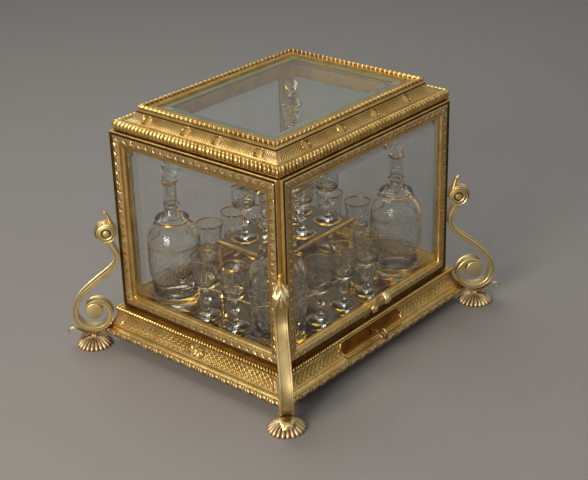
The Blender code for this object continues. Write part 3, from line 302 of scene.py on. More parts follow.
def leafy_scroll(s, c, w, depth, side, half):
    """Acanthus scrolls on a torus: curled leaves that change sides every half repeat."""
    x = repeats(s, c, half, 15) * math.pi
    y = 2 * w / depth - 1
    stem = crest(y, 0.45 * np.sin(x), 0.22)
    lobes = 0.5 + 0.5 * np.cos(4 * x + 3.2 * y * np.cos(x))
    curl = crest(np.abs(np.sin(x / 2 + 0.4)), 1, 0.16) * crest(y, -0.1, 0.5)
    edge = ease((1 - np.abs(y)) * 4)
    height = np.clip(0.45 * stem + 0.45 * lobes + 0.55 * curl, 0, 1.2)
    # The second value is painted shade in the gaps between the leaves.
    return (height - 0.5) * 0.9 * edge, (1 - ease(height * 1.5)) * 0.6 * edge, 0.5 * height, 0.4


def upright(u, v, h):
    """A plan's (u, v) at a height."""
    return u, v, h


CASE_X, CASE_Y = 150, 118  # half the case, outside its frames
CAVETTO_TOP, CAVETTO_RADII = (15.2, 41.2), (9.8, 15.7)
BASE_BANDS = [
    ([(-8.6, 46), (3.4, 46)], 4, 0.4),  # top, under the frames
    (curve((4.6, 44.2), (1.9, 1.8), 92, -80), 0.3, pearl_row(3.8, 1.3)),
    ([(4.2, 42.6), (4, 41.9)], 0.35, painted_shade_seam),
    (curve(CAVETTO_TOP, CAVETTO_RADII, 179, 186), 1.2, 1),  # burnished band
    (curve((15, 41.2), CAVETTO_RADII, 186.5, 248), 0.62, base_diaper),
    ([(11.6, 26), (12.3, 25.7)], 0.8, 0.7),
    (curve((17.2, 26.6), (4.8, 4.4), 192, 266), 1, 1),  # burnished cove
    ([(17, 22), (16.9, 21.5)], 0.25, painted_shade_seam),
    (curve((13.7, 16.9), (4.1, 4.6), 62, -74), 0.62, leafy_scroll),
    ([(13.5, 12), (-2, 12)], 5, 0.2),  # underside
    ([(-8.6, 30.4), (-14, 33.7)], 6, 0.2),  # plain inside
    ([(-14, 37), (-8.6, 37)], 6, 0.2)]  # ledge for the board
base_casting = moulding("base_casting", CASE_X, CASE_Y, BASE_BANDS, upright, 0.52, CAST_GILT)


def from_bmesh(name, shape, materials, angle=None):
    """Turn a bmesh's faces out, and finish it as an object."""
    bmesh.ops.recalc_face_normals(shape, faces=shape.faces)
    mesh = bpy.data.meshes.new(name)
    shape.to_mesh(mesh)
    shape.free()
    return finished(name, mesh, materials, angle)


def oblong(low, high):
    """The four corners of a rectangle, from its low corner round."""
    return [low, (high[0], low[1]), high, (low[0], high[1])]


def prism(name, outline, start, end, place, *materials):
    """A closed prism: an outline of (a, b) from start to end, set by place(a, b, along)."""
    shape = bmesh.new()
    ends = [[shape.verts.new(Vector(place(a, b, along)) * MM) for a, b in outline]
            for along in (start, end)]
    shape.faces.new(ends[0])
    shape.faces.new(ends[1][::-1])
    for k in range(len(outline)):
        m = (k + 1) % len(outline)
        shape.faces.new((ends[0][k], ends[1][k], ends[1][m], ends[0][m]))
    return from_bmesh(name, shape, materials)


def cut(made, tools):
    """Cut the tools from a piece, and remove them."""
    for tool in tools:
        change = made.modifiers.new(tool.name, "BOOLEAN")
        change.operation = "DIFFERENCE"
        change.solver = "MANIFOLD"
        change.object = tool
    graph = bpy.context.evaluated_depsgraph_get()
    solid = bpy.data.meshes.new_from_object(made.evaluated_get(graph))
    made.modifiers.clear()
    made.data = solid
    for tool in tools:
        bpy.data.objects.remove(tool)


CORNERS = {"front_left": (-1, -1), "front_right": (1, -1),
           "rear_left": (-1, 1), "rear_right": (1, 1)}
FIT = 0.3  # gap round a piece that is let into another
LOCK_X, KEY_Z, BIT_DROP = -8, 35.5, 6.2
LOCK_HALF, LOCK_LOW, LOCK_HIGH, LOCK_OUT = 57, 26.5, 40.5, 5.6
BRACE_END = ((0.86, 1), (0.9, 0.9), (0.93, 0.62), (1, 0.5), (0.93, 0.34), (0.92, 0.12),
             (0.86, 0))
VOLUTE_OUT, VOLUTE_Z, VOLUTE_RADIUS, VOLUTE_TURNS = 33, 42, 22, 0.9
STRAP_WIDTH, STRAP_THICK = 14, 5.4


def at_front(a, b, along):
    """An elevation's (a, b) at a depth along the y axis."""
    return a, along, b


def on_corner(side_x, side_y):
    """Map (out, across, up) at a case corner's diagonal to the world."""
    root = math.sqrt(0.5)

    def place(out, across, up):
        return (side_x * (CASE_X + out * root) - side_y * across * root,
                side_y * (CASE_Y + out * root) + side_x * across * root, up)
    return place


def volute_line(turns, grow=0):
    """The volute's spiral as (out, up), shrinking as it turns in from its outermost point."""
    line = []
    for turn in turns:
        share = turn / VOLUTE_TURNS
        radius = VOLUTE_RADIUS * (1 - 0.216 * share - 0.35 * share ** 3) + grow
        line.append((VOLUTE_OUT + radius * math.cos(-math.tau * turn),
                     VOLUTE_Z + radius * math.sin(-math.tau * turn)))
    return line


def brace_outline(margin):
    """The lock plate's long outline with brace-shaped ends, margin inside the recess."""
    high, low = LOCK_HIGH - margin, LOCK_LOW + margin
    right = [(LOCK_X + (LOCK_HALF - margin) * a, low + (high - low) * b) for a, b in BRACE_END]
    return right + [(2 * LOCK_X - u, v) for u, v in reversed(right)]


def keyhole():
    """A round hole over a slot for the bit."""
    radius, slot, foot = 2.3, 1.3, KEY_Z - BIT_DROP - 0.6
    turn = math.degrees(math.asin(slot / radius))
    return curve((LOCK_X, KEY_Z), (radius, radius), -90 + turn, 270 - turn, 20) + [
        (LOCK_X - slot, foot), (LOCK_X + slot, foot)]


tools = [
    prism("recess_cut", brace_outline(0), -CASE_Y - LOCK_OUT, -CASE_Y - 24, at_front),
    prism("pocket_cut", oblong((LOCK_X - 14.8, 23.1), (LOCK_X + 14.8, 42.9)), -CASE_Y - 3.6,
          -CASE_Y + 18, at_front),
    prism("hole_cut", keyhole(), -CASE_Y + 4, -CASE_Y - 9, at_front),
    prism("bolt_cut", oblong((LOCK_X - 5.3, 42), (LOCK_X + 5.3, 50)), -CASE_Y - 2.2,
          -CASE_Y + 1.4, at_front)]
for corner, (side_x, side_y) in CORNERS.items():
    def in_notch(a, b, along, place=on_corner(side_x, side_y)):
        return place(a, along, b)
    notch = volute_line([0.75 * i / 32 for i in range(33)], STRAP_THICK / 2 + FIT)
    half = STRAP_WIDTH / 2 + FIT
    tools.append(prism("notch_" + corner, notch, -half, half, in_notch))
cut(base_casting, tools)
stands_for(base_casting, "cabinet", "base_moulding")


# Case floor: a stained pine board on the casting's ledge, and the silvered plate that lines the
# case. The plate is old mirror glass with a warm, foxed cast. Lock parts and hinge pins are steel.
def aged(name, colours, scale, stretch, roughness, grain, metal):
    """A surface of two tones in soft patches or streaks, duller and rougher where it is lighter.

    Pine shows a 1 mm grain along the case, silvering has clouds of about 30 mm, and filed steel has
    fine lines, drawn about 0.4 mm apart so that they show.
    """
    material, tree = new_material(name)
    place = add(tree, "TexCoord")
    lay = add(tree, "Mapping", {"Scale": stretch}, {"Vector": (place, "Object")})
    streaks = add(tree, "TexNoise", {"Scale": scale, "Detail": 6, "Roughness": 0.65},
                  {"Vector": lay})
    tone = add(tree, "Mix", {"data_type": "RGBA", 6: linear(colours[0]), 7: linear(colours[1])},
               {0: (streaks, "Fac")})
    shine = add(tree, "MapRange", {"To Min": roughness - 0.08, "To Max": roughness + 0.1},
                {"Value": (streaks, "Fac")})
    bump = add(tree, "Bump", {"Strength": grain, "Distance": 0.1 * MM},
               {"Height": (streaks, "Fac")})
    shader = add(tree, "BsdfPrincipled", {"Metallic": metal},
                 {"Base Color": (tone, 2), "Roughness": shine, "Normal": bump})
    add(tree, "OutputMaterial", None, {"Surface": shader})
    return material


STAINED_BOARD = aged("stained_pine", ("#1b130d", "#35261a"), 60, (1, 14, 14), 0.6, 0.5, 0)
SILVERING = aged("old_silvering", ("#6f624c", "#857659"), 35, (1, 1, 1), 0.1, 0.02, 1)
BRIGHT_STEEL = aged("lock_steel", ("#7d6a47", "#a18c63"), 300, (1, 8, 1), 0.3, 0.1, 1)


def refinish(material, *names):
    """Give CAD nodes a better material."""
    for name in names:
        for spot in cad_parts[name].material_slots:
            spot.material = material


refinish(STAINED_BOARD, "bottom_board")
refinish(SILVERING, "mirror_floor")


# Scroll brackets: four cast and burnished S straps, each with a low volute round an eye, a waist at
# the case corner and a rolled head with ringed flanks. A ribbed leaf is laid over the head, and a
# curled tip stands behind it. They are screwed on at the waist.
def tube(name, rings, material, marks=None, angle=40):
    """Skin equal rings of points, with named values at them, and close both ends with a fan."""
    rings = np.array(rings, float)
    lines, count = rings.shape[:2]
    points = np.concatenate([rings.reshape(-1, 3), rings[[0, -1]].mean(axis=1)]) * MM
    faces = []
    for i in range(lines - 1):
        for j in range(count):
            k = (j + 1) % count
            faces.append((i * count + j, i * count + k, (i + 1) * count + k, (i + 1) * count + j))
    for end, row in ((0, 0), (1, lines - 1)):
        for j in range(count):
            pair = (row * count + (j + 1) % count, row * count + j)
            faces.append((*(pair if end == 0 else pair[::-1]), lines * count + end))
    shape = bmesh.new()
    layers = {key: shape.verts.layers.float.new(key) for key in (marks or {})}
    verts = [shape.verts.new(p) for p in points]
    for key, values in (marks or {}).items():
        for vert, value in zip(verts, [*np.ravel(values), 0, 0]):
            vert[layers[key]] = float(value)
    for face in faces:
        shape.faces.new([verts[k] for k in face])
    bmesh.ops.remove_doubles(shape, verts=shape.verts, dist=0.002 * MM)
    return from_bmesh(name, shape, [material], angle)


def join(name, parts):
    """Join parts into the first one."""
    with bpy.context.temp_override(active_object=parts[0], selected_editable_objects=parts):
        bpy.ops.object.join()
    parts[0].name = name
    return parts[0]


def all_round(steps):
    """Angles of equal steps once round."""
    return [math.tau * j / steps for j in range(steps)]


def turned(name, profile, steps, centre, material, marks=None, angle=40):
    """Turn a profile of (radius, up) about a vertical axis, with ends at zero radius."""
    x, y, z = centre
    rings = [[(x + r * math.cos(t), y + r * math.sin(t), z + up) for t in all_round(steps)]
             for r, up in profile]
    return tube(name, rings, material, marks, angle)


def smooth_line(points, steps):
    """A Catmull-Rom line through points, steps per leg."""
    p = [np.array(q, float) for q in points]
    p = [2 * p[0] - p[1], *p, 2 * p[-1] - p[-2]]
    line = []
    for a, b, c, d in zip(p, p[1:], p[2:], p[3:]):
        for i in range(steps):
            t = i / steps
            line.append(0.5 * (2 * b + (c - a) * t + (2 * a - 5 * b + 4 * c - d) * t ** 2
                               + (3 * b - a - 3 * c + d) * t ** 3))
    return [*line, p[-2]]


def with_heading(line):
    """A line's points, and its unit direction at each."""
    path = np.array(line)
    along = np.gradient(path, axis=0)
    return path, along / np.linalg.norm(along, axis=1)[:, None]


def cubic(p0, p1, p2, p3, steps):
    """Points on a cubic curve, without the last one."""
    points = []
    for i in range(steps):
        t = i / steps
        weights = ((1 - t) ** 3, 3 * t * (1 - t) ** 2, 3 * t * t * (1 - t), t ** 3)
        points.append(tuple(sum(w * q[k] for w, q in zip(weights, (p0, p1, p2, p3)))
                            for k in (0, 1)))
    return points


WAIST, SWEEP, HEAD, HEAD_RADIUS = (2.8, 111), (28.2, 80.7), (11.8, 140.2), 11.2
EYE, EYE_RADIUS = (33.3, 45.2), 9.7


def strap_line():
    """The strap's middle line as (out, up), from the volute's inner end to the head."""
    line = volute_line([VOLUTE_TURNS * i / 60 for i in range(60, 0, -1)])
    rise = (SWEEP[1] - VOLUTE_Z) / 2.3
    lean = (-0.78 * rise, 0.63 * rise)
    bend = (WAIST[1] - SWEEP[1]) / 2.3
    start = (VOLUTE_OUT + VOLUTE_RADIUS, VOLUTE_Z)
    entry = (HEAD[0], HEAD[1] - HEAD_RADIUS / 2)
    line += cubic(start, (start[0], start[1] + rise),
                  (SWEEP[0] - lean[0], SWEEP[1] - lean[1]), SWEEP, 16)
    line += cubic(SWEEP, (SWEEP[0] + lean[0], SWEEP[1] + lean[1]),
                  (WAIST[0], WAIST[1] - bend), WAIST, 16)
    line += cubic(WAIST, (WAIST[0], WAIST[1] + bend / 2),
                  (entry[0] - HEAD_RADIUS / 3, entry[1] - bend), entry, 12)
    return [*line, entry]


def strap_section():
    """The strap's section (across, thick): lined flanks, and a channel between two fillets."""
    half, top = STRAP_WIDTH / 2, STRAP_THICK / 2
    right = [(half - 0.5, -top), (half, -top + 0.5), (half, top - 1.9), (half - 0.3, top - 1.65),
             (half - 0.3, top - 1.4), (half, top - 1.1), (half, top - 0.6), (half - 0.6, top),
             (half - 1.85, top - 0.1), (half - 2.4, top - 0.95), (half - 4.2, top - 1.2)]
    return right + [(-a, b) for a, b in reversed(right)]


def roll(name, place, centre, radius, flank, width):
    """A round bar across the strap, its flanks turned to (radius share, width share, painted shade).
    """
    rows = [*flank, *((share, -high, painted_shade) for share, high, painted_shade in reversed(flank))]
    rings = [[place(centre[0] + radius * share * math.cos(t), width / 2 * high,
                    centre[1] + radius * share * math.sin(t)) for t in all_round(48)]
             for share, high, _ in rows]
    return tube(name, rings, BRACKET_GILT, {"painted_shade": np.repeat([row[2] for row in rows], 48)})


def acanthus(name, place, line, widths, lift, thick):
    """A ribbed leaf along a line of (out, up), lobed at its edges and raised along its midrib."""
    path, along = with_heading(smooth_line(line, 6))
    normal = np.stack([-along[:, 1], along[:, 0]], axis=1)
    rings, painted_shades = [], []
    for i, spot in enumerate(path):
        share = i / (len(path) - 1)
        half = np.interp(share, np.linspace(0, 1, len(widths)), widths)
        half *= 0.86 + 0.14 * abs(math.cos(share * math.pi * 5))
        ring, painted_shade = [], []
        for a in np.linspace(-1, 1, 17):
            rib = lift * (0.5 * math.exp(-(a / 0.16) ** 2)
                          + 0.42 * math.cos(abs(a) * 9 - share * 17))
            bow = thick * (1 - a * a) ** 0.5
            out = spot + normal[i] * (bow + rib * (1 - a * a))
            ring.append(place(out[0], a * half, out[1]))
            # Painted shade darkens the leaf between its ribs.
            painted_shade.append(min(max(0.3 - 0.7 * rib, 0), 1))
        back = spot - normal[i] * 0.5
        rings.append([*ring, place(back[0], 0, back[1])])
        painted_shades.append([*painted_shade, 0.2])
    return tube(name, rings, BRACKET_GILT, {"painted_shade": np.array(painted_shades) * 0.7}, 60)


# The brackets' gilding is rubbed bright, so it is paler and less browned than the mouldings'.
BRACKET_GILT = gilding("gilt_bronze_pale", 0.36, 0.28, 0.2, PALE_GOLD, "#dec48a")
# Eye and head flanks as (radius share, width share, painted shade): the shade is painted into the
# grooves between the rings.
FLAT_EYE = ((0, 1, 0), (0.9, 1, 0), (0.96, 0.97, 0.1), (1, 0.88, 0))
RINGED_HEAD = ((0, 1.16, 0), (0.22, 1.15, 0), (0.34, 1.08, 0.1), (0.38, 0.94, 0.8),
               (0.46, 0.9, 0.8), (0.52, 1, 0.1), (0.62, 1.04, 0), (0.72, 0.98, 0.3),
               (0.84, 0.93, 0.3), (0.9, 1, 0), (0.97, 0.96, 0), (1, 0.86, 0))
# Painted shade along the strap's section, in the lines on its flanks and in its channel.
STRAP_SHADE = (0, 0, 0, 0.7, 0.7, 0, 0, 0, 0.1, 0.35, 0.22)
TIP = [(6.4, 149), (7.6, 153.6), (8.6, 157.6), (9.9, 161.6), (12.4, 163.4), (14.2, 161.8)]
strap, strap_along = with_heading(strap_line())
tip, tip_along = with_heading(smooth_line(TIP, 5))
over_radius = HEAD_RADIUS + 0.4
over_head = [(HEAD[0] + over_radius * math.cos(t), HEAD[1] + over_radius * math.sin(t))
             for t in np.radians([118, 85, 50, 15, -20, -55])]
for corner, (side_x, side_y) in CORNERS.items():
    place = on_corner(side_x, side_y)
    strap_rings = [[place(out + dv * thick, across, up - du * thick)
                    for across, thick in strap_section()]
                   for (out, up), (du, dv) in zip(strap, strap_along)]
    strap_shade = np.tile(STRAP_SHADE + STRAP_SHADE[::-1], (len(strap), 1))
    tip_rings = []
    for k, ((out, up), (du, dv)) in enumerate(zip(tip, tip_along)):
        share = k / (len(tip) - 1)
        wide = np.interp(share, (0, 0.25, 0.55, 0.8, 1), (4.6, 3, 1.7, 2.3, 1.2))
        deep = np.interp(share, (0, 0.4, 1), (3.2, 1.5, 1.1))
        tip_rings.append([place(out + dv * deep * math.sin(t), wide * math.cos(t),
                                up - du * deep * math.sin(t)) for t in all_round(16)])
    parts = [tube("strap", strap_rings, BRACKET_GILT, {"painted_shade": strap_shade}),
             roll("eye", place, EYE, EYE_RADIUS, FLAT_EYE, 14.6),
             roll("head", place, HEAD, HEAD_RADIUS, RINGED_HEAD, 15.2),
             acanthus("leaf", place, over_head, (4, 7, 7.8, 7.8, 7, 3), 1.5, 1.5),
             tube("tip", tip_rings, CAST_GILT)]
    stands_for(join("bracket_" + corner, parts), "cabinet", "scroll_bracket_" + corner)


# Shell feet: one cast scallop under each volute, ribbed from a flared collar down to a wavy rim that
# rests on the table. A curled tendril and a short tongue-shaped leaf lie on its outward side, under
# the volute. Chased, with the ribs burnished.
FOOT_OUT, FOOT_RADIUS, FOOT_HEIGHT, FOOT_RIBS = 36.5, 20.5, 9.5, 22
FOOT_STEPS = FOOT_RIBS * 8
SHELL = ((0.9, 0), (0.97, 0), (1, 0.16), (0.97, 0.34), (0.88, 0.55), (0.74, 0.76),
         (0.56, 0.92), (0.4, 1.02), (0.3, 1.1))
COLLAR = ((5.2, 10.6), (4, 11.6), (3.1, 12.8), (3, 13.8), (4.2, 14.6), (6.6, 15.4), (8.6, 16.4))
TENDRIL = [(40, 16.2), (46, 17.4), (53, 20.6), (60, 22.8), (64.2, 21.4), (64.6, 17.8),
           (62.6, 17)]
TONGUE = [(FOOT_OUT + reach, up)
          for reach, up in ((4.6, 16.4), (8.6, 15.4), (12.4, 12.4), (15.6, 8.4))]
volute_low = min(up for out, up in strap_line()) - STRAP_THICK / 2 - FIT
for corner, (side_x, side_y) in CORNERS.items():
    place = on_corner(side_x, side_y)
    rings, painted_shades = [], []
    for share, height in SHELL:
        ring, painted_shade = [], []
        for t in all_round(FOOT_STEPS):
            rib = abs(math.cos(FOOT_RIBS * t / 2)) ** 0.7
            radius = FOOT_RADIUS * share * (1 - 0.13 * (1 - rib) * min(1, share * 1.1))
            up = FOOT_HEIGHT * height * (0.86 + 0.14 * rib)
            ring.append(place(FOOT_OUT + radius * math.cos(t), radius * math.sin(t), up))
            # Painted shade darkens the gaps between the ribs, and a little all round the collar.
            painted_shade.append(0.75 * (1 - rib))
        rings.append(ring)
        painted_shades.append(painted_shade)
    for radius, up in COLLAR:
        up = min(up, volute_low) if radius < COLLAR[-1][0] else volute_low
        rings.append([place(FOOT_OUT + radius * (1 + 0.05 * math.cos(9 * t)) * math.cos(t),
                            radius * (1 + 0.05 * math.cos(9 * t)) * math.sin(t), up)
                      for t in all_round(FOOT_STEPS)])
        painted_shades.append([0.25] * FOOT_STEPS)
    marks = {"painted_shade": np.array(painted_shades), "rose": np.full((len(rings), FOOT_STEPS), 0.8)}
    parts = [tube("foot_" + corner, rings, CAST_GILT, marks, 60),
             acanthus("tendril", place, TENDRIL, (3.4, 4.2, 3.4, 2.2, 1.5, 0.8), 0.4, 0.7),
             acanthus("tongue", place, TONGUE, (7.4, 8.8, 6.4, 5.2), 0.3, 0.8)]
    stands_for(join("foot_" + corner, parts), "cabinet", "shell_foot_" + corner)


# Glazed frames of the two sides and the rear: mitred lengths of one moulding, with a cove darkened
# by painted shade, a bundle of reeds bound by small ties, and a burnished cove down to the plate,
# which is ground to a wide bevel.
CASE_FLOOR, CASE_TOP = 46.3, 258.4
FRAME_WIDTH, FRAME_THICK, GROOVE = 18, 9.2, 3
PLATE_FACE, PLATE_THICK, PLATE_EDGE, BEVEL = -4.9, 3, 1.6, 9
TIE_PITCH = 12


def reeded_rod(s, c, w, depth, side, half):
    """A bundle of fine reeds, bound at each repeat by a small tie with a leaf tip on both sides."""
    y = 2 * w / depth - 1
    body = dome(0, y)
    reeds = 0.5 + 0.5 * np.cos(math.tau * 2.4 * y + 0.5 * np.sin(s * 0.9))
    along = np.abs(repeats(s, c, half, TIE_PITCH) * TIE_PITCH / 2)
    tip = 1.1 * np.cos(math.pi * y * 1.5)
    tie = ease((1.5 + tip - along) * 1.4)
    groove = crest(along, 3 + tip, 0.6)
    grain = 0.5 + 0.5 * np.sin(s * 2.3 + 1.7 * np.sin(w * 1.9))
    rise = body * ((0.45 * reeds + 0.5 * grain) * (1 - tie) + 1.1 * tie) - 0.45
    # Painted shade darkens the lines between reeds and the groove at each tie.
    painted_shade = (((1 - reeds) * 0.12 + 0.08 * (1 - grain)) * (1 - tie) + 0.45 * groove) * body
    return rise, painted_shade, 0.45 + 0.5 * tie, 0.25 + 0.6 * tie


FRAME_BANDS = [
    ([(0, -1.4), (-0.4, -0.5), (-1, -0.3)], 0.5, 0.8),  # outer fillet
    (curve((-2.6, -0.3), (1.6, 1.7), 355, 205, 10), 0.6, painted_shade_seam),
    (curve((-8.4, -2), (4.3, 2), 5, 175), 0.45, reeded_rod),
    ([(-12.6, -1.6), (-12.9, -1.9), (-13.2, -0.9), (-13.7, -0.5), (-14.3, -0.8)], 0.45, 0.9),
    (curve((-17.8, -1), (3.3, 3.2), 0, -90, 10), 0.6, 1),  # burnished cove
    ([(-18, -4.4), (-18, -4.6), (-15, -4.6)], 6, 0.2),  # plate's groove
    ([(-15, -8.2), (-16.5, -8.2), (-16.5, -FRAME_THICK), (0, -FRAME_THICK)], 8, 0.2)]


def lamps_through(tree, glass, tint):
    """The glass, but clear to the lamps' light, so that it throws no dark shadow behind it."""
    rays = add(tree, "LightPath")
    clear = add(tree, "BsdfTransparent", {"Color": linear(tint)})
    soft = add(tree, "Math", {"operation": "MAXIMUM"},
               {0: (rays, "Is Shadow Ray"), 1: (rays, "Is Diffuse Ray")})
    return add(tree, "MixShader", None, {0: soft, 1: glass, 2: clear})


def pane_glass(name, tint, edge, clear_share=1):
    """Drawn plate glass, ground and polished: clear face on, with a tint where it is seen aslant.

    Its surface waves a little, over about 70 mm.
    """
    material, tree = new_material(name)
    place = add(tree, "TexCoord")
    ripple = add(tree, "TexNoise", {"Scale": 14, "Detail": 2}, {"Vector": (place, "Object")})
    bump = add(tree, "Bump", {"Strength": 0.03, "Distance": 0.5 * MM}, {"Height": (ripple, "Fac")})
    facing = add(tree, "LayerWeight", {"Blend": 0.35})
    tone = add(tree, "Mix", {"data_type": "RGBA", 6: linear(tint), 7: linear(edge)},
               {0: (facing, "Facing")})
    glass = add(tree, "BsdfPrincipled",
                {"Roughness": 0, "IOR": 1.5, "Transmission Weight": clear_share},
                {"Base Color": (tone, 2), "Normal": bump})
    add(tree, "OutputMaterial", None, {"Surface": lamps_through(tree, glass, tint)})
    return material


PLATE = pane_glass("plate_glass", "#fdfefd", "#eef2ef")
PLATE_BEVEL = pane_glass("plate_bevel_glass", "#f3f6f3", "#d8e2dc")


def bevelled_plate(name, low, high, place, front, bevel, material, bevel_material):
    """A plate between low and high of its plane, its face sloped to a thinner edge all round."""
    back = front - PLATE_THICK
    outer = oblong(low, high)
    inner = oblong((low[0] + bevel, low[1] + bevel), (high[0] - bevel, high[1] - bevel))
    shape = bmesh.new()
    loops = ((outer, back), (outer, back + PLATE_EDGE), (inner, front))
    verts = [shape.verts.new(np.array(place(u, v, h), float) * MM) for loop, h in loops
             for u, v in loop]
    faces = [(0, 1, 2, 3), (8, 9, 10, 11)]
    for i in (0, 4):
        faces += [(i + j, i + (j + 1) % 4, i + 4 + (j + 1) % 4, i + 4 + j) for j in range(4)]
    for face in faces:
        shape.faces.new([verts[k] for k in face])
    made = from_bmesh(name, shape, (material, bevel_material))
    for face in made.data.polygons[2:]:
        face.material_index = 1
    return made


def glazed(name, low, high, place, body):
    """One mitred frame and its plate, in a plane set by place(u, v, height of the face)."""
    mid_u, mid_v = (low[0] + high[0]) / 2, (low[1] + high[1]) / 2

    def shifted(u, v, h):
        return place(u + mid_u, v + mid_v, h)
    made = moulding(name + "_moulding", (high[0] - low[0]) / 2, (high[1] - low[1]) / 2, FRAME_BANDS,
                    shifted, 0.8, CAST_GILT)
    stands_for(made, body, name + "_frame")
    inset = FRAME_WIDTH - GROOVE + FIT
    plate = bevelled_plate(name + "_plate", (low[0] + inset, low[1] + inset),
                           (high[0] - inset, high[1] - inset), place, PLATE_FACE, BEVEL,
                           PLATE, PLATE_BEVEL)
    stands_for(plate, body, name + "_pane")
    return made


for side, side_name in ((-1, "left"), (1, "right")):
    def on_side(u, v, h, side=side):
        return side * (CASE_X + h), u, v
    glazed(side_name, (-CASE_Y, CASE_FLOOR), (CASE_Y, CASE_TOP), on_side, "cabinet")


def on_rear(u, v, h):
    return u, CASE_Y + h, v


rear_half = CASE_X - FRAME_THICK - FIT
rear = glazed("rear", (-rear_half, CASE_FLOOR), (rear_half, CASE_TOP), on_rear, "cabinet")


# Lid: one casting with gadroons of plain lobes, a matted net frieze with ringed bosses and a rim of
# beads and reels round its bevelled plate. It turns on two butt hinges let into it and the rear rail.
LID_FLOOR, LID_CENTRE_Y, LID_HALF_Y = 258.7, -2, 120
LID_RIM, LID_PLATE_FACE, LID_BEVEL_WIDTH = 37, 281.1, 13
BOSSES = ((28.5, 85.5), (22, 78)) * 2


def gadroons(s, c, w, depth, side, half):
    """Broad convex lobes side by side, with a line of painted shade between each pair."""
    x = repeats(s, c, half, 5.6)
    y = 2 * w / depth - 1
    shape = dome(x / 0.94, 0)
    edge = ease((1 - np.abs(y)) * 3)
    return shape * 1.5 * edge - 0.3, (1 - ease(shape * 2.2)) * 0.95, 0.7 * shape, 0


def frieze(s, c, w, depth, side, half):
    """A fine raised net with four ringed bosses on each side and a plain leaf at each mitre."""
    ridge, _ = lattice(s, w, 4, depth / 4, 0.17)
    near = np.min([np.hypot(np.abs(s) - b, w - depth / 2) for b in BOSSES[side]], axis=0)
    boss = dome(near / 4.2, 0)
    ring = crest(near, 5.5, 0.55)
    clear = ease((near - 6) / 0.6)
    leaf, rim = leaf_end(c, w, depth, 5 if side in (0, 2) else 13)
    net = clear * (1 - leaf)
    edge = ease(w / 0.7) * ease((depth - w) / 0.7)
    veins = 0.5 + 0.5 * np.cos(s * 2.6)
    rise = (net * 0.5 * ridge + boss + 1.3 * ring
            + (leaf * (0.2 + 0.3 * veins) + 0.4 * rim) * clear)
    # Painted shade darkens the net between its ridges, the leaves between their veins, and a ring
    # round each boss.
    painted_shade = (net * (1 - ridge) * 0.6 + leaf * clear * (1 - veins) * 0.4
              + (1 - clear) * (1 - np.maximum(ease(boss * 3), ring)) * 0.8)
    return rise * edge, painted_shade * edge, 0.6 * net * ridge + 0.6 * boss + ring, 0.4 * leaf * clear


def bead_and_reel(s, c, w, depth, side, half):
    """Round pearls, each between two thin discs."""
    x = repeats(s, c, half, 8.4)
    y = 2 * w / depth - 1
    disc = 0.55 * dome((np.abs(x) - 0.8) / 0.12, 0) * dome(0, y)
    shape = np.maximum(dome(x / 0.56, y * 0.8), disc)
    # Painted shade darkens the gaps between pearls and discs.
    return shape * 1.25 - 0.35, (1 - ease(shape * 2)) * 0.8, 0.8 * shape, 0


LID_BANDS = [
    ([(-36.8, 283), (-31.2, 283), (-28.6, 282.6)], 2, 0.9),  # burnished flat round the plate
    (curve((-25.6, 282.7), (1.9, 1.9), 178, -20), 0.5, bead_and_reel),
    ([(-23.9, 281.4), (-23.4, 280.2), (-22.6, 279.4)], 0.8, 0.8),
    ([(-22.5, 278.8), (-22.5, 278), (-21.9, 277.6)], 0.4, painted_shade_seam),
    (curve((-13.3, 279.5), (8.8, 10.2), 192, 264), 0.5, frieze),
    ([(-14.1, 269.4), (-13.4, 269.4)], 0.35, painted_shade_seam),
    ([(-13, 269.9), (-11.6, 269.4), (-9, 269.6)], 0.8, 0.85),
    (curve((-7.6, 264.9), (4.2, 4.6), 88, -60), 0.5, gadroons),
    (curve((-4.4, 260.4), (0.6, 0.75), 80, -80, 6), 0.4, pearl_row(2.1, 0.35)),
    ([(-3.6, 259.5), (-3.6, LID_FLOOR), (-10.5, LID_FLOOR)], 4, painted_shade_seam),
    ([(-10.5, 261.3), (-15.7, 263.9), (-31.5, 276), (-36, 276)], 8, 0.2),  # plain inside
    ([(-36, 277.8), (-34, 277.8), (-34, 281.4), (-37, 281.4)], 6, 0.2)]  # plate's groove


def on_lid(u, v, h):
    return u, v + LID_CENTRE_Y, h


lid_casting = moulding("lid_casting", CASE_X, LID_HALF_Y, LID_BANDS, on_lid, 0.75, CAST_GILT)
LEAF_X, LEAF_HALF = 90, 13 + FIT
for made, name, low, high in ((lid_casting, "lid_leaf_cut_", 255, 260.4),
                              (rear, "rail_leaf_cut_", 256.7, 262)):
    cut(made, [prism("%s%d" % (name, side), oblong((side * LEAF_X - LEAF_HALF, 110),
                                                   (side * LEAF_X + LEAF_HALF, 124)),
                     low, high, upright) for side in (-1, 1)])
stands_for(lid_casting, "lid_and_front", "lid_frame")
# The lid's wide bevel is seen aslant against the light, so it shows the glass's own green.
LID_PLATE = pane_glass("lid_plate_glass", "#fafcfa", "#dfeae3")
LID_BEVEL = pane_glass("lid_bevel_glass", "#cfdfd4", "#93b3a0", 0.72)
lid_in = LID_RIM - GROOVE + FIT
lid_plate = bevelled_plate("lid_plate", (-CASE_X + lid_in, -LID_HALF_Y + lid_in),
                           (CASE_X - lid_in, LID_HALF_Y - lid_in), on_lid, LID_PLATE_FACE,
                           LID_BEVEL_WIDTH, LID_PLATE, LID_BEVEL)
stands_for(lid_plate, "lid_and_front", "lid_pane")


# Front leaf: the same moulding as the sides, hung from the lid and lapped over their ends. A curled
# thumb lift with a round lug is riveted to the middle of its bottom rail.
FRONT_FACE, FRONT_SIDE_IN, FRONT_FLOOR = -122, 5.3, 48


def on_front(u, v, h):
    return u, FRONT_FACE - h, v


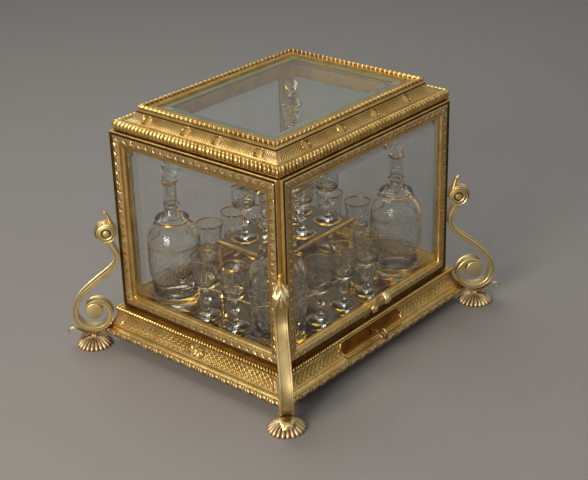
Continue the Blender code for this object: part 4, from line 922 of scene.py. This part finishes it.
front_half = CASE_X - FRONT_SIDE_IN
front = glazed("front", (-front_half, FRONT_FLOOR), (front_half, CASE_TOP), on_front,
               "lid_and_front")
tools = []
for side in (-1, 1):
    rebate = oblong((side * (front_half - 4.5), 40), (side * (front_half + 4), 262))
    tools.append(prism("rebate_%d" % side, rebate, FRONT_FACE + 3.7, FRONT_FACE + 14, at_front))
tools.append(prism("mortise", oblong((LOCK_X - 5.45, 40), (LOCK_X + 5.45, 52.3)),
                   -CASE_Y - 2.35, -CASE_Y + 1.55, at_front))
cut(front, tools)

LIFT_X, LIFT_Z, LIFT_Y = 2, 56.5, FRONT_FACE - FIT
LIFT = [(-0.6, 0), (-3.4, 8), (-6.8, 15.5), (-11, 20.8), (-15.2, 22.4), (-18.6, 20.4),
        (-19.8, 16.6), (-18.6, 13.6), (-16.2, 13)]
LUG = ((5.2, 0), (5.3, 1.6), (4.8, 2.6), (3.6, 2.9), (2.8, 3.4), (1.8, 4.4), (0.6, 4.8))
lift_path, lift_along = with_heading(smooth_line(LIFT, 6))
lift_rings, lug_rings = [], []
for k, ((out, up), (du, dv)) in enumerate(zip(lift_path, lift_along)):
    share = k / (len(lift_path) - 1)
    half = np.interp(share, (0, 0.35, 0.75, 0.92, 1), (2.8, 3.8, 4.8, 4.4, 2.4))
    thick = np.interp(share, (0, 0.2, 0.7, 1), (1.9, 1.7, 1.7, 1.3))
    ring = []
    for t in all_round(20):
        flute = 1 - 0.35 * max(0, math.sin(t)) * (0.5 + 0.5 * math.cos(6 * t))
        across, deep = half * math.cos(t), thick * math.sin(t) * flute
        ring.append((LIFT_X + across, LIFT_Y + out - dv * deep, LIFT_Z + up + du * deep))
    lift_rings.append(ring)
for radius, out in LUG:
    petals = [(radius * (1 + 0.13 * math.cos(5 * t - 1.6)), t) for t in all_round(60)]
    lug_rings.append([(LIFT_X + r * math.cos(t), LIFT_Y - out, LIFT_Z + r * math.sin(t))
                      for r, t in petals])
lift_parts = [tube("lift", lift_rings, BRACKET_GILT), tube("lug", lug_rings, BRACKET_GILT)]
stands_for(join("curled_thumb_lift", lift_parts), "lid_and_front", "thumb_lift")


# Hinges and lock: gilt butt hinges on steel pins, a steel lock case with its bolt, and a burnished
# plate with a keyhole, set in the base's front inside a raised border. The key has an oval scrolled
# bow.
for side_name in ("left", "right"):
    refinish(BURNISHED_GILT, side_name + "_hinge_case_leaf", side_name + "_hinge_lid_leaf")
    refinish(BRIGHT_STEEL, side_name + "_hinge_pin")
refinish(BRIGHT_STEEL, "lock_case", "lock_bolt")
refinish(gilding("lock_plate_gilt", 0.3, 0.24, 0.1, "#a8793a", "#5f3d18"), "lock_plate")


def wire(name, line, radius, material, count=8):
    """A round wire along a closed line of world points that lies in one plane."""
    path = np.array(line, float)
    along = np.roll(path, -1, axis=0) - np.roll(path, 1, axis=0)
    along /= np.linalg.norm(along, axis=1)[:, None]
    flat = np.linalg.svd(path - path.mean(axis=0), full_matrices=False)[2][2]
    rings = [[p + radius * (math.cos(t) * a + math.sin(t) * flat) for t in all_round(count)]
             for p, a in zip(path, np.cross(along, flat))]
    return wrapped(name, np.array(rings), material)


def diaper_face(z):
    """How far the cavetto's face stands out at a height."""
    rise = min(1, max(0, (CAVETTO_TOP[1] - z) / CAVETTO_RADII[1]))
    return CAVETTO_TOP[0] - CAVETTO_RADII[0] * math.sqrt(1 - rise * rise)


border = []
outline = brace_outline(-0.9)
for (a, b), (c, d) in zip(outline, outline[1:] + outline[:1]):
    legs = max(1, round(math.dist((a, b), (c, d)) / 1.5))
    border += [(a + (c - a) * k / legs, b + (d - b) * k / legs) for k in range(legs)]
border_line = [(a, -CASE_Y - diaper_face(b) - 0.5, b) for a, b in border]
lock_border = wire("lock_border", border_line, 1.15, BURNISHED_GILT)
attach(lock_border, "cabinet")

SHANK = ((0, 0), (1.6, 0), (1.6, 14.8), (2.5, 15.2), (2.5, 16.2), (1.7, 16.6), (1.7, 17.6),
         (2.4, 18), (2.2, 19), (1.4, 19.6), (1.2, 21.2), (0, 21.2))
BOW_RADIUS, KEY_REACH = 5.4, 14.5
shank_back = -CASE_Y + 1.1
bow_y = -CASE_Y - LOCK_OUT - KEY_REACH - BOW_RADIUS + 0.65
shank_rings = [[(LOCK_X + r * math.cos(t), shank_back - y, KEY_Z + r * math.sin(t))
                for t in all_round(24)] for r, y in SHANK]
bow_line = [(LOCK_X, bow_y + BOW_RADIUS * math.cos(t),
             KEY_Z + BOW_RADIUS * math.sin(t) * (1 + 0.06 * math.cos(4 * t)))
            for t in all_round(48)]
key_parts = [tube("shank", shank_rings, BRIGHT_STEEL), wire("bow", bow_line, 1.4, BRIGHT_STEEL, 12)]
for side in (-1, 1):
    curl = [(LOCK_X, bow_y - 1.6 + 2.2 * math.cos(t),
             KEY_Z + side * (2.6 + 0.6 * math.cos(2 * t)) + 1.6 * math.sin(t))
            for t in all_round(30)]
    key_parts.append(wire("curl", curl, 0.8, BRIGHT_STEEL))
BIT = ((0.3, 0), (0.3, BIT_DROP), (2.7, BIT_DROP), (2.7, 0), (1.8, 0), (1.8, 2.4),
       (1.2, 2.4), (1.2, 0))


def on_key(a, b, along):
    return LOCK_X + along, shank_back - a, KEY_Z - BIT_DROP + b


key_parts.append(prism("bit", BIT, -0.9, 0.9, on_key, BRIGHT_STEEL))
stands_for(join("scrolled_key", key_parts), "turning_key", "key")


# Rack: a mirror tray in a gilt frame on four turned legs, and a low gilt wire rail that keeps the
# lower glasses and the decanters apart, on turned rods with bead feet.
refinish(SILVERING, "tray_plate")
TABLE, TRAY_X, TRAY_Y = 48, 70, 43
TRAY_BANDS = [
    (curve((-0.6, 117.6), (0.6, 1.5), 90, -60), 0.5, 0.8),  # rounded edge
    ([(-0.4, 116.1), (-0.2, 115), (-6, 115)], 1.5, 0.6),
    ([(-6, 116.7), (-3, 116.7), (-3, 120)], 3, 0.6),  # ledge for the plate
    ([(-2.6, 120), (-1, 119.6)], 0.8, 0.8)]
LEG = ((0, 0), (4.2, 0), (4.4, 1.4), (3.6, 3), (2.2, 4.8), (2, 6), (2.1, 30),
       (2.4, 33), (3.5, 35.4), (2.4, 37.6), (2.1, 40), (2.1, 62), (2.6, 66.5), (2.6, 67.6),
       (0, 67.6))
tray_parts = [moulding("tray_rim", TRAY_X, TRAY_Y, TRAY_BANDS, upright, 2, BURNISHED_GILT)]
for side_x, side_y in CORNERS.values():
    spot = (side_x * (TRAY_X - 3), side_y * (TRAY_Y - 3), TABLE)
    tray_parts.append(turned("leg", LEG, 24, spot, BURNISHED_GILT))
stands_for(join("gilt_tray", tray_parts), "cabinet", "tray_frame")

DECANTER_X, DECANTER_Y, DECANTER_RADIUS, DECANTER_TOP = 104, 76, 30, 147
RAIL_X, RAIL_Y, RAIL_Z, WIRE = 100, 71.5, 76.5, 1.2
ROD = ((0, 0), (2.8, 0), (3.1, 1.4), (2.4, 3), (1.2, 4.4), (1, 5.5), (1, 26),
       (1.5, 27.4), (0, 28.4))
bend = DECANTER_RADIUS + WIRE + 1.4
bend_start = 180 + math.degrees(math.asin((DECANTER_Y - RAIL_Y) / bend))
bend_end = 270 - math.degrees(math.asin((DECANTER_X - RAIL_X) / bend))
rail = []
for side_x, side_y in ((1, 1), (-1, 1), (-1, -1), (1, -1)):
    turn = [(side_x * x, side_y * y, RAIL_Z)
            for x, y in curve((DECANTER_X, DECANTER_Y), (bend, bend), bend_end, bend_start, 20)]
    rail += turn if side_x * side_y > 0 else turn[::-1]
rod_x = DECANTER_X + bend * math.cos(math.radians(bend_start))
rods = [(side_x * rod_x, side_y * RAIL_Y) for side_x, side_y in CORNERS.values()]
rods += [(side * RAIL_X, 4) for side in (-1, 1)]
gallery_parts = [wire("rail", rail, WIRE, BURNISHED_GILT, 12)]
gallery_parts += [turned("rod", ROD, 20, (x, y, TABLE), BURNISHED_GILT) for x, y in rods]
stands_for(join("gilt_gallery", gallery_parts), "cabinet", "wire_gallery")


# Service: four ring-necked decanters with tall stoppers and sixteen stemmed glasses, blown in clear
# glass, with gilt bands at the shoulder, waist and foot and engraved flowers over the bodies and
# bowls.
def crystal(name, bands, engraved):
    """Clear blown glass, with gilt bands at heights over the foot and engraving between two.

    The wheel's cuts are matt. They are finer in fact, and about 1 mm wide here so that they show.
    """
    material, tree = new_material(name)
    place = add(tree, "TexCoord")
    high = add(tree, "Attribute", {"attribute_name": "height"})
    outer = add(tree, "Attribute", {"attribute_name": "outer"})
    gilt = None
    for low, top in bands:
        over = add(tree, "Math", {"operation": "GREATER_THAN", 1: low}, {0: (high, "Fac")})
        under = add(tree, "Math", {"operation": "LESS_THAN", 1: top}, {0: (high, "Fac")})
        band = add(tree, "Math", {"operation": "MULTIPLY"}, {0: over, 1: under})
        gilt = add(tree, "Math", {"operation": "MAXIMUM"}, {0: gilt, 1: band}) if gilt else band
    gilt = add(tree, "Math", {"operation": "MULTIPLY"}, {0: gilt, 1: (outer, "Fac")})
    leaves = add(tree, "TexNoise", {"Scale": 30, "Detail": 0, "Distortion": 0.8},
                 {"Vector": (place, "Object")})
    shift = add(tree, "Math", {"operation": "PINGPONG", 1: 0.045}, {0: (leaves, "Fac")})
    etched = add(tree, "MapRange", {"From Min": 0.01, "From Max": 0.022, "To Min": 1, "To Max": 0},
                 {"Value": shift})
    over, under = (add(tree, "MapRange", {"From Min": end, "From Max": end + fade},
                       {"Value": (high, "Fac")}) for end, fade in zip(engraved, (5, -5)))
    for limit in (over, under, (outer, "Fac")):
        etched = add(tree, "Math", {"operation": "MULTIPLY"}, {0: etched, 1: limit})
    rough = add(tree, "Math", {"operation": "MULTIPLY", 1: 0.3}, {0: etched})
    bump = add(tree, "Bump", {"Strength": 0.5, "Distance": 0.15 * MM}, {"Height": etched})
    glass = add(tree, "BsdfPrincipled",
                {"Base Color": linear("#faf9f6"), "IOR": 1.5, "Transmission Weight": 1},
                {"Roughness": rough, "Normal": bump})
    gold = add(tree, "BsdfPrincipled",
               {"Base Color": linear("#d9a63e"), "Metallic": 1, "Roughness": 0.22})
    body = lamps_through(tree, glass, "#f4f6f4")
    mixed = add(tree, "MixShader", None, {0: gilt, 1: body, 2: gold})
    add(tree, "OutputMaterial", None, {"Surface": mixed})
    return material


def blown(name, outside, inside, steps, centre, material):
    """A vessel: its outside from foot to lip, then its inside down to the floor."""
    out_line = smooth_line(outside, 4)
    profile = out_line + (smooth_line(inside, 4) if inside else [])
    outer = [1] * len(out_line) + [0] * (len(profile) - len(out_line))
    marks = {"height": np.repeat([up for _, up in profile], steps),
             "outer": np.repeat(outer, steps)}
    profile = [(max(0, radius), up) for radius, up in profile]
    return turned(name, profile, steps, centre, material, marks, 60)


DECANTER_OUT = (
    (0, 0), (23.6, 0), (25, 0.8), (25.4, 3), (23.8, 5.4), (25.6, 8.6), (26.4, 20),
    (27.6, 32), (29.4, 42), (30, 60), (30, 74), (28.8, 85), (25, 94),
    (19, 99), (17.6, 101), (19.4, 103.4), (17, 106), (11.6, 108.4), (8.8, 114),
    (7.8, 118), (9.6, 120.4), (7.7, 122.8), (7.5, 136), (7.6, 143.6), (9.2, 145.8),
    (9.4, DECANTER_TOP))
DECANTER_IN = (
    (5.2, DECANTER_TOP), (5, 140), (5, 108.6), (8, 103), (20, 93), (25.8, 82),
    (27, 70), (26.9, 50), (25.6, 32), (20.4, 14), (12, 9.6), (0, 9))
STOPPER = (
    (0, -16), (4.2, -16), (4.7, 0), (8.2, 0.6), (8, 3), (8.6, 10), (10.6, 20),
    (12.4, 26.4), (11.6, 29.6), (6, 32.4), (3.6, 36.6), (5, 40.6), (3.4, 43.4), (6.6, 47.6),
    (8, 52.4), (5.6, 56.8), (0, 58.7))
DECANTER_BANDS = ((0.3, 3.2), (27.5, 29), (74, 75.2), (99.6, 101.8), (145, 147.1))
DECANTER_GLASS = crystal("decanter_crystal", DECANTER_BANDS, (31, 73))
STOPPER_GLASS = crystal("stopper_crystal", ((26, 27.6), (39.6, 41.2)), (4, 24))
for corner, (side_x, side_y) in CORNERS.items():
    x, y = side_x * DECANTER_X, side_y * DECANTER_Y
    vessel = blown("blown_decanter_" + corner, DECANTER_OUT, DECANTER_IN, 64, (x, y, TABLE),
                   DECANTER_GLASS)
    stands_for(vessel, "cabinet", "decanter_" + corner)
    top = blown("blown_stopper_" + corner, STOPPER, (), 40, (x, y, TABLE + DECANTER_TOP),
                STOPPER_GLASS)
    stands_for(top, "lifted_stopper_" + corner, "stopper_" + corner)

GLASS_OUT = (
    (0, 0), (15, 0), (15.2, 0.8), (9, 2.6), (4, 4.4), (2.7, 9), (2.5, 15),
    (4.9, 19.8), (2.6, 24.4), (2.9, 30), (4.6, 33.6), (10.8, 37.2), (13, 43), (13.4, 50),
    (13.8, 60), (16, 73.5))
GLASS_IN = ((15, 73.5), (12.9, 60), (12.4, 50), (11.6, 43.6), (8, 39.6), (0, 37.6))
STEM_GLASS = crystal("glass_crystal", ((0.5, 1.4), (41.2, 42.6), (71.8, 73.6)), (43, 68))
for number in range(1, 17):
    low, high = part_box("glass_%02d" % number)
    spot = ((low.x + high.x) / 2 / MM, (low.y + high.y) / 2 / MM, low.z / MM)
    vessel = blown("stemmed_glass_%02d" % number, GLASS_OUT, GLASS_IN, 36, spot, STEM_GLASS)
    stands_for(vessel, "cabinet", "glass_%02d" % number)


# Studio, in metres: the cabinet stands on a plain pale floor, lit by a soft lamp from the left, a
# weaker fill from the right and a broad soft lamp above. It is seen from the front left corner.
floor_paint, tree = new_material("pale_floor")
shader = add(tree, "BsdfPrincipled", {"Base Color": linear("#858280"), "Roughness": 0.75})
add(tree, "OutputMaterial", None, {"Surface": shader})
bpy.ops.mesh.primitive_plane_add(size=14, location=(0, 0, 0))
floor = bpy.context.active_object
floor.name = "studio_floor"
floor.data.materials.append(floor_paint)

# What the eye, metal and glass see of the walls is pale, and brighter upwards. Their light is dim.
world = bpy.data.worlds.new("studio")
world.use_nodes = True
tree = world.node_tree
tree.nodes.clear()
rays = add(tree, "LightPath")
seen = (rays, "Is Camera Ray")
for kind in ("Is Glossy Ray", "Is Transmission Ray"):
    seen = add(tree, "Math", {"operation": "ADD", "use_clamp": True}, {0: seen, 1: (rays, kind)})
place = add(tree, "TexCoord")
parts = add(tree, "SeparateXYZ", None, {0: (place, "Generated")})
rise = add(tree, "MapRange", {"From Min": 0, "From Max": 0.9, "To Min": 0.3, "To Max": 1.6},
           {"Value": (parts, "Z")})
pale = add(tree, "Background", {"Color": linear("#aeaca8")}, {"Strength": rise})
dim = add(tree, "Background", {"Color": linear("#c9cdd2"), "Strength": 0.35})
walls = add(tree, "MixShader", None, {0: seen, 1: dim, 2: pale})
add(tree, "OutputWorld", None, {"Surface": walls})
bpy.context.scene.world = world


def softbox(name, place, target_z, size, power, colour):
    """A square area lamp that faces a height on the cabinet's axis, with its power in watts."""
    lamp = bpy.data.lights.new(name, "AREA")
    lamp.size, lamp.energy, lamp.color = size, power, linear(colour)[:3]
    made = bpy.data.objects.new(name, lamp)
    made.location = place
    ray = Vector((0, 0, target_z)) - Vector(place)
    made.rotation_euler = ray.to_track_quat("-Z", "Y").to_euler()
    bpy.context.scene.collection.objects.link(made)


softbox("key", (-2, -0.35, 0.95), 0.12, size=0.9, power=48, colour="#fff4e4")
softbox("fill", (0.9, -1.9, 0.9), 0.12, size=1.2, power=3.5, colour="#f6f2ec")
softbox("top", (0.2, 0.7, 1.9), 0.15, size=1.2, power=18, colour="#fdfbf6")

LENS, SENSOR, CAMERA_SPOT = 80.1, 36, (-1.0227, -0.8850, 0.7439)
AZIMUTH, ELEVATION, ROLL = (math.radians(a) for a in (-49.47, 25.27, -1.59))
camera_data = bpy.data.cameras.new("camera")
camera_data.lens, camera_data.sensor_width, camera_data.sensor_fit = LENS, SENSOR, "HORIZONTAL"
camera = bpy.data.objects.new("camera", camera_data)
back = Vector((math.sin(AZIMUTH) * math.cos(ELEVATION), -math.cos(AZIMUTH) * math.cos(ELEVATION),
               math.sin(ELEVATION)))
right = Vector((math.cos(AZIMUTH), math.sin(AZIMUTH), 0))
up = back.cross(right)
leaning_right = right * math.cos(ROLL) + up * math.sin(ROLL)
leaning_up = up * math.cos(ROLL) - right * math.sin(ROLL)
turn = Matrix((leaning_right, leaning_up, back)).transposed().to_4x4()
camera.matrix_world = Matrix.Translation(CAMERA_SPOT) @ turn
bpy.context.scene.collection.objects.link(camera)
bpy.context.scene.camera = camera
bpy.context.scene.view_settings.view_transform = "Standard"
